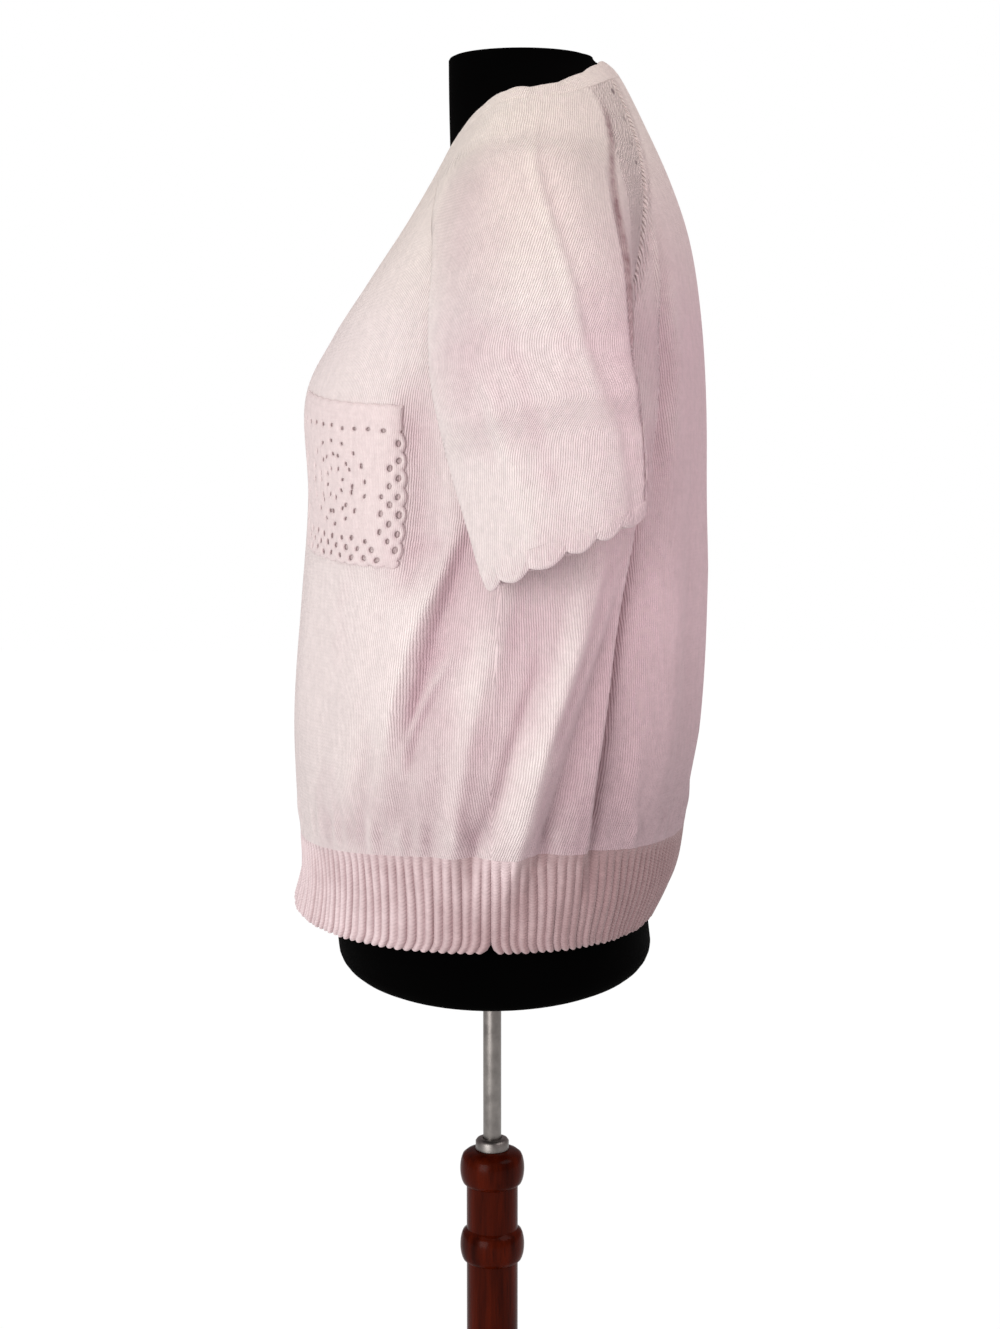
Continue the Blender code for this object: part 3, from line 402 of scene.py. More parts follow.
def between(start, end, share, shareOut):  # a point on the way, with a share of its own away from the body
    point = start + (end - start) * share
    point[0] = start[0] + (end[0] - start[0]) * shareOut
    return point


def sleeveGuides():
    table = []
    for station, row in enumerate(sleeve["stations"]):
        hang, front, crown, back, inner = row[0], *(np.array(row[k:k + 3]) for k in (1, 4, 7, 10))
        if station < 9:
            level = body["seamLevels"][9 - station]
            first, last = seamAngles(level)
            shares = np.array((0, 0.08, 0.20, 0.35, 0.50, 0.65, 0.80, 0.92, 1))
            onBody = clothPoint(level - 0.021 * (station == 0), first + (last - first) * shares)
            start, end, turn = onBody[0], onBody[-1], 0.62
        else:
            start = end = clothPoint(7, 90, 0.0009) if station == 9 else inner
            turn = 0.25
        guides = np.array([
            start, between(start, front, 0.55, turn), front, between(front, crown, 0.45, 0.80), crown,
            between(back, crown, 0.45, 0.80), back, between(end, back, 0.55, turn), end])
        if station < 9:
            guides = onBody + (guides - onBody) * hang
        table.append(guides)
    return np.array(table)


def sleeveSection(guides, station, steps=40):
    spanSizes = np.array((1, 1, 5, 6, 6, 5, 1, 1))  # how much of the way round lies between guide points
    here = tableAt(guides.reshape(15, 27), station).reshape(9, 3)
    if station < 9:
        level = np.interp(9 - station, np.arange(10), body["seamLevels"])
        first, last = seamAngles(level)
        stand = 0.0009 * np.clip(station - 8, 0, 1)
        level -= 0.021 * np.clip(1 - station, 0, 1)
        here[0] = clothPoint(level, first, stand)
        here[8] = clothPoint(level, last, stand)
    places = np.arange(8 * steps + 1) / steps
    span = np.minimum(places.astype(int), 7)
    passed = np.concatenate(([0], np.cumsum(spanSizes)))
    share = (passed[span] + (places - span) * spanSizes[span]) / passed[-1]
    flat = tableAt(here, places)
    looped = tableAt(np.concatenate((here[-2:-1], here, here[1:2])), places + 1)
    line = flat + (looped - flat) * np.clip(station - 8, 0, 1)
    # Where the front point lies close to the seam the spline would loop, so a plain curve takes its place.
    early = slice(0, 2 * steps + 1)
    gap = np.linalg.norm(here[2] - here[0])
    calm = np.clip((0.030 - gap) / 0.012, 0, 1)
    way = places[early, None] / 2
    leave, arrive = (here[1] - here[0]) * 1.6, unit(here[3] - here[1]) * 1.1 * gap
    curve = ((2 * way ** 3 - 3 * way ** 2 + 1) * here[0] + (way ** 3 - 2 * way ** 2 + way) * leave
             + (3 * way ** 2 - 2 * way ** 3) * here[2] + (way ** 3 - way ** 2) * arrive)
    line[early] += (curve - line[early]) * calm
    if station > 1:
        centre = np.interp(station, *zip(*sleeve["troughLine"]))
        depth = sleeve["troughDepth"] * min(1, (station - 1) / 3) * (1 - 0.5 * ((station - 1) / 13))
        line[:, 0] -= depth * hill(share, centre, np.where(share < centre, 0.022, 0.065))
    return line, share


def sleeveRows(guides, stations, side, spread):
    grid = np.empty((len(stations), len(spread), 3))
    shares = np.empty(grid.shape[:2])
    runs = np.empty(grid.shape[:2])
    for index, station in enumerate(stations):
        line, share = sleeveSection(guides, station)
        run = lengthsAlong(line)
        runs[index] = (spread + 1) / 2 * run[-1]
        grid[index] = np.stack([np.interp(runs[index], run, line[:, axis]) for axis in range(3)], -1)
        shares[index] = np.interp(runs[index], run, share)
    grid[..., 0] *= side
    return grid, shares, runs


def sleeveShell(name, side):
    guides = sleeveGuides()
    dense = np.linspace(0, 13, 300)
    run = lengthsAlong(np.array([sleeveSection(guides, station, 2)[0][8] for station in dense]))
    even = np.linspace(0, run[-1], sleeve["rows"])
    stations = np.interp(even, run, dense)
    grid, shares, runs = sleeveRows(guides, stations, side, spacing(sleeve["columns"]))
    place = stations[:, None]
    fromEdge = np.minimum(runs, runs[:, -1:] - runs)
    seam = seamProfile(fromEdge) * np.where(shares < 0.5, body["frontSeam"], 1)
    lift = seam.copy()
    for which, topShare, topStation, lowShare, lowStation, width, size in sleeve["creases"]:
        if which == side:
            along = (place - topStation) / (lowStation - topStation)
            path = topShare + (lowShare - topShare) * np.clip(along, 0, 1)
            taper = np.clip(np.minimum((along + 0.1) / 0.3, (1.1 - along) / 0.3), 0, 1)
            lift += size * np.clip(fromEdge / 0.008, 0, 1) * taper * hill(shares, path, width)
    outer = grid - side * gridNormals(grid) * lift[..., None]
    inner = outer + side * gridNormals(outer) * sleeve["wall"]
    up = (run[-1] - even)[:, None] + 0 * runs
    along = np.clip((place - 1) / 13, 0, 1)
    centre = np.interp(place, *zip(*sleeve["troughLine"]))
    trough = hill(shares, centre, np.where(shares < centre, 0.016, 0.075)) * np.clip(place - 1, 0, 1)
    # Painted light and shade for the yarn's colour: lighter on raised creases, darker in sunk creases and in
    # the trough.
    fold = (lift - seam) / 0.0025 - 0.45 * trough * (1 - 0.5 * along)
    # Painted shade and light, in colour alone: shade in the hollow of the sleeve's front, and light on the
    # ridge before the turn.
    hollow = np.clip((place - 2) / 1.5, 0, 1) * np.clip((11.5 - place) / 4.5, 0, 1)
    fold -= 1.6 * hollow * hill(shares, 0.24, 0.17)
    lit = np.clip(place - 2, 0, 1) * (1 - along)
    fold += 0.7 * lit * hill(shares - centre, -0.055, 0.027)
    # Painted shade: a dark line along the sleeve's back edge, where the fold's shadow falls.
    edge = np.interp(place, *zip(*sleeve["edgeLine"]))
    worn = hill(shares, edge, 0.0062) * np.clip(place - 0.6, 0, 1)
    uv = np.stack((runs - runs[:, -1:] / 2, up, fromEdge, up, fold, worn), -1)
    return shellObject(name, outer, inner, uv, flip=side > 0, roll=0.1)


def fanRelief(phase, up, bandHeight):  # crochet fans, one to a scallop of 23 mm
    across = (phase - 0.5) * 0.023
    rise = up * bandHeight
    fan = np.arctan2(across, rise + 0.0035)
    reach = np.sqrt(across ** 2 + (rise + 0.0035) ** 2) / (bandHeight + 0.0035)
    cords = np.abs(np.cos(fan / 1.25 * math.pi * 7 / 2)) ** 0.6
    ray = cords * np.clip((reach - 0.22) / 0.15, 0, 1) * np.clip((0.96 - reach) / 0.08, 0, 1)
    puff = hill(across, 0, 0.0075) * hill(up, 0.55, 0.3)
    return np.maximum(0.45 * ray, 0.6 * hill(reach, 0.95, 0.09)) + 0.6 * puff


def scallopsOf(edging, begin, sway, beats, late):  # notch is 0 at a scallop's middle and 1 between two
    columns = edging["scallops"] * edging["perScallop"]
    column = np.arange(columns)
    turn = column / columns * 2 * math.pi
    phase = (column / edging["perScallop"] + begin + sway * np.sin(turn * beats + late)) % 1
    notch = 1 - np.abs(np.sin(math.pi * phase)) ** 0.7
    return turn, phase, notch, np.linspace(0, 1, edging["rows"])[:, None]


# The cuffs' crochet edging. Its relief is how high the fans stand, and its depth how far the notches
# between two scallops reach in, as a share of its height.
cuff = {"scallops": 11, "perScallop": 26, "rows": 17, "wall": 0.0019, "relief": 0.0012, "depth": 0.34}


def cuffShell(name, side):
    turn, phase, notch, share = scallopsOf(cuff, 0.5, 0.10, 3, 1.2 * side)
    spread = np.linspace(-1, 1, len(turn) + 1)
    (upper, lower), _, runs = sleeveRows(sleeveGuides(), [13.0, 14.0], side, spread)
    upper, lower = upper[:-1], lower[:-1]
    end = 1 - (cuff["depth"] + 0.05 * np.sin(turn * 2 + side)) * notch
    along = 0.006 + (end - 0.006) * share
    grid = upper + (lower - upper) * along[..., None]
    out = -side * gridNormals(grid, True)
    relief = fanRelief(phase[None], share, 0.012) * np.clip(share / 0.25, 0, 1)
    outer = grid + out * (cuff["relief"] * relief)[..., None]
    inner = grid - out * (cuff["wall"] - 0.0002 + 0.0003 * relief)[..., None]
    uv = np.stack(np.broadcast_arrays((runs[0] - runs[0, -1] / 2)[None], -0.013 * share), -1)
    return shellObject(name, outer, inner, uv, closed=True, flip=side > 0, roll=0.45)


# The neck's crochet edging, with shallow scallops. Its depth is in the levels of the rings.
neck = {"scallops": 19, "perScallop": 26, "rows": 17, "wall": 0.0018, "relief": 0.0004, "depth": 0.10}


def neckShell(name):
    turn, phase, notch, share = scallopsOf(neck, 0, 0.08, 4, 0.7)
    end = 13 - (neck["depth"] + 0.05 * np.abs(np.sin(turn / 2 * 1.5 + 0.4))) * notch
    levels = 12.004 + (end - 12.004) * share
    angles = np.broadcast_to(360 * np.arange(len(turn)) / len(turn), levels.shape)
    relief = fanRelief(phase[None], share, 0.016) * np.clip(share / 0.3, 0, 1)
    outer = clothPoint(levels, angles, neck["relief"] * relief)
    inner = clothPoint(levels, angles, -neck["wall"])
    run = lengthsAlong(np.concatenate((outer[0], outer[0, :1])))
    uv = np.stack(np.broadcast_arrays(run[None], 0.016 * share), -1)
    return shellObject(name, outer, inner, uv, closed=True, roll=0.45)


# The ribbed bands at the bottom. The depth is a groove's, the lip is how far the lower edge turns in, and
# the hang how much lower the ribs end than the grooves.
welt = {"ribs": 81, "perRib": 8, "rows": 17, "wall": 0.0030, "depth": 0.0014, "lip": 0.0012, "hang": 0.0011}


def weltShell(name, back):
    ribs = welt["ribs"]
    levels = np.linspace(0, 2, welt["rows"])
    place = levels[:, None]
    half = 90 - 0.9 * np.maximum(0, 0.28 - levels) / 0.28
    count = np.arange(ribs * welt["perRib"] + 1) / welt["perRib"]
    angles = np.empty((len(levels), len(count)))
    across = np.empty_like(angles)
    wobble = 0.07 * np.sin(0.37 * count) + 0.05 * np.sin(1.3 * count + 1)
    for index, (level, edge) in enumerate(zip(levels, half)):
        dense, run = ringRun(level, edge, back)
        sway = wobble * math.sin(2.2 * level + 0.5) * np.minimum(1, np.minimum(count, ribs - count) / 3)
        across[index] = (count + sway) / ribs * run[-1]
        angles[index] = np.interp(across[index], run, dense)
    crest = np.abs(np.sin(math.pi * count)) ** 0.9
    fade = np.clip((2.0 - place) / 0.16, 0, 1)
    deep = welt["depth"] * (1 - crest) * fade
    uneven = 0.0003 * np.sin(0.9 * count + 1.7 * place) * fade
    uneven = uneven + 0.0004 * np.sin(np.floor(count) * 2.4) * (1 - place / 2)
    lip = welt["lip"] * (1 - np.clip(place / 0.10, 0, 1))
    outer = clothPoint(place, angles, uneven - deep - lip)
    inner = clothPoint(place, angles, 0.0006 * crest - welt["wall"])
    for face in (outer, inner):
        face[0, :, 2] += welt["hang"] * (1 - crest)
    up = lengthsAlong(outer[:, outer.shape[1] // 2])[:, None]
    fold = foldShadeTone(angles, outer)
    uv = np.stack(np.broadcast_arrays(across, up, count, up, fold, fold), -1)
    return shellObject(name, outer, inner, uv, roll=0.2)


# The pocket: a crochet patch with real holes. Its own plane runs across from the side near the front's
# centre, and up.
pocket = {
    "width": 0.116, "height": 0.101, "cell": 0.00056,
    "start": 0.083, "bottom": 1.0615,  # from the centre front, and above the floor
    "droop": 0.0085,  # how far its lower edge rises towards the centre front
    "lean": 0.0075,  # how far its outer edge leans in at the top
    "loop": 0.0114,  # from one scallop to the next
    "middle": (0.056, 0.049), "oval": (0.044, 0.038),  # the motif's centre, half width and half height
    "rounds": (0.24, 0.47, 0.66, 0.83), "roundDepth": 0.00030,  # its furrows, as shares of the oval
    "posts": (8, 20, 34), "postHeight": 0.00016,  # its stitches, from the middle out
    "bands": ((0.0905, 0.0007), (0.0957, 0.0006)), "bandDepth": 0.00025,  # furrows along the top
    "under": 0.0003, "puff": 0.0018,  # thickness at its edges, and how much more there is within
    "corner": 0.0040,  # radius of its two lower corners
    "netTop": 0.086,  # the loops along its sides end here
}


def pocketLean(up):
    return pocket["lean"] * np.clip(up / pocket["height"] - 0.25, 0, 1) ** 1.3


def pocketRise(across):
    return pocket["droop"] * (1 - np.clip(across / pocket["width"], 0, 1)) ** 2


def behindPocket(grid):  # 1 where the pocket shades the front
    steps = np.linalg.norm(np.diff(grid, axis=1), axis=-1)
    run = np.concatenate((np.zeros((len(grid), 1)), np.cumsum(steps, 1)), 1)
    across = run - run[:, grid.shape[1] // 2, None] - pocket["start"]
    up = grid[..., 2] - pocket["bottom"] - pocketRise(across)
    return ((across > 0.002) & (across < pocket["width"] - 0.0012 - pocketLean(up))
            & (up > 0.0005) & (up < pocket["height"] - 0.006)).astype(float)


def blended(table, row, column):  # a value between four neighbours
    low, left = np.minimum(row.astype(int), len(table) - 2), column.astype(int)
    rowShare, columnShare = row - low, column - left
    if table.ndim > 2:
        rowShare, columnShare = rowShare[..., None], columnShare[..., None]
    return ((table[low, left] * (1 - columnShare) + table[low, left + 1] * columnShare) * (1 - rowShare)
            + (table[low + 1, left] * (1 - columnShare) + table[low + 1, left + 1] * columnShare) * rowShare)


def pocketSurface():  # the front's face under the pocket, as a grid with a step of 1 mm
    margin, step = 0.010, 0.001
    acrossLine = np.arange(-margin, pocket["width"] + margin, step)
    upLine = np.arange(-margin, pocket["height"] + margin, step)
    levelLine = np.linspace(4.8, 7.6, 60)
    frontHeight = tableAt(body["rings"], levelLine)[:, 0]
    angleLine = np.linspace(0, 89, 357)
    runTable = np.array([lengthsAlong(clothPoint(level, angleLine)) for level in levelLine])
    reach = np.arange(0.060, 0.216, step)
    angleTable = np.array([np.interp(reach, run, angleLine) for run in runTable])
    across, up = np.meshgrid(acrossLine, upLine)
    height = pocket["bottom"] + up + pocketRise(across)
    level = np.interp(height, frontHeight, levelLine)
    column = np.clip((across + pocket["start"] - reach[0]) / step, 0, len(reach) - 1.001)
    angle = blended(angleTable, np.interp(level, levelLine, np.arange(60)), column)
    grid = clothPoint(level, angle)
    return acrossLine, upLine, grid, gridNormals(grid)


def pocketAt(surface, across, up):
    acrossLine, upLine, grid, normals = surface
    column = np.clip((across - acrossLine[0]) / 0.001, 0, len(acrossLine) - 1.001)
    row = np.clip((up - upLine[0]) / 0.001, 0, len(upLine) - 1.001)
    return blended(grid, row, column), unit(blended(normals, row, column))


def pocketHoles():  # rows of them along both sides and the bottom, rings of them in the middle, a row on top
    random = np.random.default_rng(11)
    width, loop, reach = pocket["width"], pocket["loop"], pocket["loop"] / 2
    centreX, centreY = pocket["middle"]
    holes = []  # place across and up, half width, half height, slant

    def hole(x, y, wide, high, slant=0.0):
        jitter = random.normal(0, 0.00045, 2)
        size = random.uniform(0.78, 1.14)
        holes.append((x + jitter[0], y + jitter[1], wide * size, high * size, slant + random.normal(0, 0.15)))

    def holeRound(turn, reachX, reachY, wide, high, slant, rise=0.0):  # on an oval round the middle
        hole(centreX + reachX * math.cos(turn), centreY + rise + reachY * math.sin(turn), wide, high, slant)

    for column, top in enumerate((0.081, 0.070, 0.052)):
        for place in range(8):
            y = 0.0095 + (place + 0.5 * (column % 2)) * loop
            if 0.004 + reach * column < y < top:
                hole(width - 0.0036 - reach * column - pocketLean(y), y, 0.0014 - 0.0001 * column,
                     0.0019 - 0.0002 * column)
                if column < 2:
                    hole(0.0034 + reach * column, y, 0.0012, 0.0017)
    for row in range(3):
        for place in range(10):
            x = 0.0098 + (place + 0.5 * (row % 2)) * loop
            if 0.004 + reach * row < x < width - 0.004 - reach * row:
                hole(x, 0.0037 + reach * row, 0.0017 - 0.0001 * row, 0.0013, 0.5 * (-1) ** place)
    for place in range(8):
        turn = (place + 0.35) / 8 * 2 * math.pi
        holeRound(turn, 0.0098, 0.0098, 0.0007, 0.0012, turn + 1.57)
        for step in (-0.11, 0.11):
            holeRound(turn + step + 0.39, 0.0195, 0.0185, 0.0009, 0.0013, turn + 0.39)
    for place in range(16):
        turn = (place + 0.2) / 16 * 2 * math.pi
        holeRound(turn, 0.0315, 0.0260, 0.0009, 0.0013, turn, 0.001)
    for place in range(10):
        hole(0.0085 + place * loop, 0.0850, 0.0013, 0.0009)
    return holes


def pocketShell(name, surface):
    width, height, loop, cell = pocket["width"], pocket["height"], pocket["loop"], pocket["cell"]
    centreX, centreY = pocket["middle"]
    x, y = np.meshgrid(np.arange(-0.0015, width + 0.0026, cell), np.arange(-0.0018, height + 0.0010, cell))
    scallop = np.abs(np.sin(math.pi * (y - 0.0038) / loop)) ** 0.7
    hem = np.abs(np.sin(math.pi * (x - 0.0041) / loop)) ** 0.7
    net = np.clip((pocket["netTop"] - y) / 0.002, 0, 1)
    # Room is the way to the nearest edge or hole: above 0 in the cloth and below 0 outside it.
    sides = [width - 0.0006 + 0.0021 * scallop * net - pocketLean(y) - x, x + 0.0002 + 0.0006 * scallop * net,
             y - 0.0002 + 0.0015 * hem, height - 0.0006 + 0.0006 * hem - y]
    room = np.minimum.reduce(sides)
    corner = pocket["corner"]
    for beside in sides[:2]:
        away = np.hypot(np.maximum(corner - beside, 0), np.maximum(corner - sides[2], 0))
        room = np.minimum(room, corner - away)
    rim = np.full(x.shape, 0.01)
    for holeX, holeY, wide, high, slant in pocketHoles():
        across = (x - holeX) * math.cos(slant) + (y - holeY) * math.sin(slant)
        up = (y - holeY) * math.cos(slant) - (x - holeX) * math.sin(slant)
        rim = np.minimum(rim, (np.hypot(across / wide, up / high) - 1) * math.sqrt(wide * high))
    room = np.minimum(room, rim)
    riseY, riseX = np.gradient(room, cell)
    steep = np.maximum(riseX ** 2 + riseY ** 2, 0.3)
    near = np.abs(room) < 0.6 * cell
    x = x - np.where(near, room * riseX / steep, 0)
    y = y - np.where(near, room * riseY / steep, 0)
    kept = near | (room > 0)
    rows, columns = x.shape
    ids = np.arange(rows * columns).reshape(rows, columns)
    quads = np.stack((ids[:-1, :-1], ids[:-1, 1:], ids[1:, 1:], ids[1:, :-1]), -1).reshape(-1, 4)
    quads = quads[kept.ravel()[quads].all(1) & (~near.ravel()[quads]).any(1)]

    ovalX, ovalY = pocket["oval"]
    radius = (np.abs((x - centreX) / ovalX) ** 3 + np.abs((y - centreY) / ovalY) ** 3) ** (1 / 3)
    rounds = sum(hill(radius, place, 0.030) for place in pocket["rounds"])
    inside, middle, outside = pocket["posts"]
    first, second = pocket["rounds"][:2]
    posts = np.where(radius < first, inside, np.where(radius < second, middle, outside))
    posts = np.abs(np.sin(np.arctan2(y - centreY, x - centreX) * posts))
    motif = -pocket["roundDepth"] * rounds + pocket["postHeight"] * posts
    bands = sum(hill(y, place, wide) for place, wide in pocket["bands"])
    relief = np.where(radius < 1, motif, 0) - pocket["bandDepth"] * bands
    puff = 1 - np.exp(-np.maximum(room, 0) / 0.0009)
    lift = pocket["under"] + pocket["puff"] * puff + relief * puff
    points, normals = pocketAt(surface, x.ravel(), y.ravel())
    outer = points + normals * lift.ravel()[:, None]
    inner = points - normals * 0.0004

    count = rows * columns
    start, end = quads.ravel(), np.roll(quads, -1, 1).ravel()
    loose = ~np.isin(start * count + end, end * count + start)
    start, end = start[loose], end[loose]
    walls = np.stack((end, start, count + start, count + end), 1)
    faces = np.concatenate((quads, count + quads[:, ::-1], walls))
    used, numbered = np.unique(faces, return_inverse=True)
    # The hole walls get 0 here, where the crochet's colour paints shade.
    rim = np.where(near & (rim < 0.0006), 0, rim)
    place = np.stack((x.ravel(), y.ravel(), rim.ravel(), y.ravel()), -1)[faces % count]
    return meshObject(name, np.concatenate((outer, inner))[used], numbered.reshape(faces.shape), [place])


def tubeFaces(rows, columns, hollow=False):  # quads from ring to ring, and back to the first if hollow
    row = np.arange(rows - (not hollow))[:, None]
    here, beyond = row * columns, (row + 1) % rows * columns
    column, following = np.arange(columns), np.arange(1, columns + 1) % columns
    return np.stack((here + column, here + following, beyond + following, beyond + column), -1).reshape(-1, 4)


def ringObject(name, rings, faces, sharp):
    corners = sum(len(face) for face in faces)
    thing = meshObject(name, np.concatenate(rings), faces, [np.zeros((corners, 2))])
    thing.data.set_sharp_from_angle(angle=math.radians(sharp))
    return thing


def lathe(name, profile, sides=72):  # turned from the top down, closed at the axis or hollow
    turn = np.arange(sides) / sides * 2 * math.pi
    rings = [np.stack((radius * np.cos(turn), radius * np.sin(turn), np.full(sides, height)), -1)
             for radius, height in profile if radius > 0]
    hollow = profile[0][0] > 0 and profile[-1][0] > 0
    faces = list(tubeFaces(len(rings), sides, hollow)[:, (0, 3, 2, 1)])
    if not hollow:
        faces += [range(sides), range(len(rings) * sides - 1, (len(rings) - 1) * sides - 1, -1)]
    return ringObject(name, rings, faces, 38)


def rounded(corners, radius=0.0008):  # a profile with its corners rounded off
    profile = [corners[0]]
    for before, corner, after in zip(corners, corners[1:], corners[2:]):
        here = np.array(corner, float)
        back, onward = np.array(before) - here, np.array(after) - here
        reach = min(radius, np.linalg.norm(back) / 2.5, np.linalg.norm(onward) / 2.5)
        first = here + back / np.linalg.norm(back) * reach
        last = here + onward / np.linalg.norm(onward) * reach
        profile += [tuple(first), tuple((first + last + 2 * here) / 4), tuple(last)]
    profile.append(corners[-1])
    return profile


# The dress form. Its ovals are half width, reach to front and back, and middle.
form = {
    "columns": 96, "foot": 0.7690, "top": 1.3970, "rounding": 0.016,
    "hem": (0.159, 0.1090, 0.1125, 0.0), "neck": (0.0520, 0.0295, 0.0690, 0.0200),
    # How far it lies inside the cloth, level by level: at its front, side and back.
    "insets": [
        (0, 0.03, 0.0115, 0.0045), (1, 0.025, 0.016, 0.017), (2, 0.028, 0.022, 0.024),
        (3.15, 0.036, 0.038, 0.036), (4.5, 0.044, 0.06, 0.054), (5.2, 0.042, 0.064, 0.06),
        (6.4, 0.018, 0.04, 0.048), (7, 0.0027, 0.024, 0.036), (7.75, 0.0027, 0.013, 0.02),
        (8.8, 0.0027, 0.004, 0.006), (9.4, 0.0027, 0.0027, 0.0027), (13, 0.0027, 0.0027, 0.0027),
    ],
}


def insetAt(level, angle):
    table = np.array(form["insets"])
    index = np.clip(np.searchsorted(table[:, 0], level) - 1, 0, len(table) - 2)
    share = np.clip((level - table[index, 0]) / (table[index + 1, 0] - table[index, 0]), 0, 1)
    share = share * share * (3 - 2 * share)
    front, side, back = table[index, 1:] + (table[index + 1, 1:] - table[index, 1:]) * share
    cosine = np.cos(np.radians(angle))
    return side + (np.where(cosine > 0, front, back) - side) * cosine ** 2


def formObject(name):
    columns, top = form["columns"], form["top"]
    angles = np.arange(columns) / columns * 360
    turn = np.radians(angles)

    def oval(sizes, cut, height):  # cut is how much smaller it is all round
        halfWidth, front, back, middle = sizes
        reach = np.where(np.cos(turn) > 0, -(front - cut + middle), back - cut - middle)
        return np.stack(((halfWidth - cut) * np.sin(turn), middle + reach * np.abs(np.cos(turn)),
                         np.full(columns, height)), -1)

    rings = []
    for step in range(7):
        bend = step / 6 * math.pi / 2
        cut = form["rounding"] * (1 - math.sin(bend))
        rings.append(oval(form["hem"], cut, form["foot"] + form["rounding"] * (1 - math.cos(bend))))
    for level in np.concatenate(([0.0, 0.5, 1.0, 1.5], np.linspace(2, 12.9, 66))):
        inset = insetAt(level, angles)[:, None]
        rings.append(bodyPlain(level, angles) - bodyNormal(np.full(columns, level), angles) * inset)
    collar = rings[-1]
    neckRing = oval(form["neck"], 0, top)
    for share in (0.2, 0.4, 0.6, 0.8, 0.94):
        ring = collar + (neckRing - collar) * (1 - (1 - share) ** 2)
        ring[:, 2] = collar[:, 2] + (neckRing[:, 2] - collar[:, 2]) * share
        rings.append(ring)
    for cut, drop in ((0, 0.0022), (0.0008, 0.0008), (0.0025, 0)):
        rings.append(oval(form["neck"], cut, top - drop))
    faces = list(tubeFaces(len(rings), columns))
    faces += [range(columns - 1, -1, -1), range((len(rings) - 1) * columns, len(rings) * columns)]
    return ringObject(name, rings, faces, 50)


tree = None  # the node tree that the functions below add to


def put(value, socket):
    if isinstance(value, bpy.types.NodeSocket):
        tree.links.new(value, socket)
    else:
        socket.default_value = value


def calc(operation, *values):
    node = tree.nodes.new("ShaderNodeMath")
    node.operation = operation
    for value, socket in zip(values, node.inputs):
        put(value, socket)
    return node.outputs[0]


def plus(one, two):
    return calc("ADD", one, two)


def minus(one, two):
    return calc("SUBTRACT", one, two)


def times(one, two):
    return calc("MULTIPLY", one, two)


def scaled(value, factor, offset):
    return calc("MULTIPLY_ADD", value, factor, offset)


def humps(phase):  # one round hump for each whole step of the phase
    return calc("ABSOLUTE", calc("SINE", times(phase, math.pi)))


def clamped(value):
    node = tree.nodes.new("ShaderNodeClamp")
    put(value, node.inputs["Value"])
    return node.outputs[0]


def ramp(value, start, steepness):  # from 0 to 1 past the start, or before it if the steepness is negative
    return clamped(times(minus(value, start), steepness))


def mixed(share, one, two, way="MIX"):
    node = tree.nodes.new("ShaderNodeMix")
    node.data_type = "RGBA"
    node.blend_type = way
    for value, socket in zip((share, one, two), (node.inputs[0], node.inputs[6], node.inputs[7])):
        put(value, socket)
    return node.outputs[2]


def parted(vector):
    node = tree.nodes.new("ShaderNodeSeparateXYZ")
    put(vector, node.inputs[0])
    return node.outputs


def noise(vector, scale, detail=2.0, rough=0.5):
    node = tree.nodes.new("ShaderNodeTexNoise")
    put(vector, node.inputs["Vector"])
    node.inputs["Scale"].default_value = scale
    node.inputs["Detail"].default_value = detail
    node.inputs["Roughness"].default_value = rough
    return node.outputs["Fac"]


def stretched(vector, scale):
    node = tree.nodes.new("ShaderNodeMapping")
    put(vector, node.inputs["Vector"])
    node.inputs["Scale"].default_value = scale
    return node.outputs[0]


def geometry(what):
    return tree.nodes.new("ShaderNodeNewGeometry").outputs[what]


def uvOf(layer):
    node = tree.nodes.new("ShaderNodeUVMap")
    node.uv_map = layer
    return node.outputs[0]


def bumped(shader, height, distance, strength=1.0):
    node = tree.nodes.new("ShaderNodeBump")
    node.inputs["Strength"].default_value = strength
    node.inputs["Distance"].default_value = distance
    put(height, node.inputs["Height"])
    tree.links.new(node.outputs[0], shader.inputs["Normal"])


def newGroup(name, inputs, outputs):
    global tree
    tree = bpy.data.node_groups.new(name, "ShaderNodeTree")
    for label, kind, value in inputs:
        socket = tree.interface.new_socket(name=label, in_out="INPUT", socket_type="NodeSocket" + kind)
        if value is not None:
            socket.default_value = value
    for label, kind in outputs:
        tree.interface.new_socket(name=label, in_out="OUTPUT", socket_type="NodeSocket" + kind)
    return tree, tree.nodes.new("NodeGroupInput").outputs, tree.nodes.new("NodeGroupOutput").inputs


def useGroup(group, **values):
    node = tree.nodes.new("ShaderNodeGroup")
    node.node_tree = group
    for label, value in values.items():
        put(value, node.inputs[label])
    return node.outputs


def newMaterial(name, roughness, sheen=0.0):
    global tree
    material = bpy.data.materials.new(name)
    material.use_nodes = True
    tree = material.node_tree
    shader = tree.nodes["Principled BSDF"]
    shader.inputs["Roughness"].default_value = roughness
    shader.inputs["Sheen Weight"].default_value = sheen
    shader.inputs["Sheen Roughness"].default_value = 0.5
    shader.inputs["Specular IOR Level"].default_value = 0.25
    return material, shader


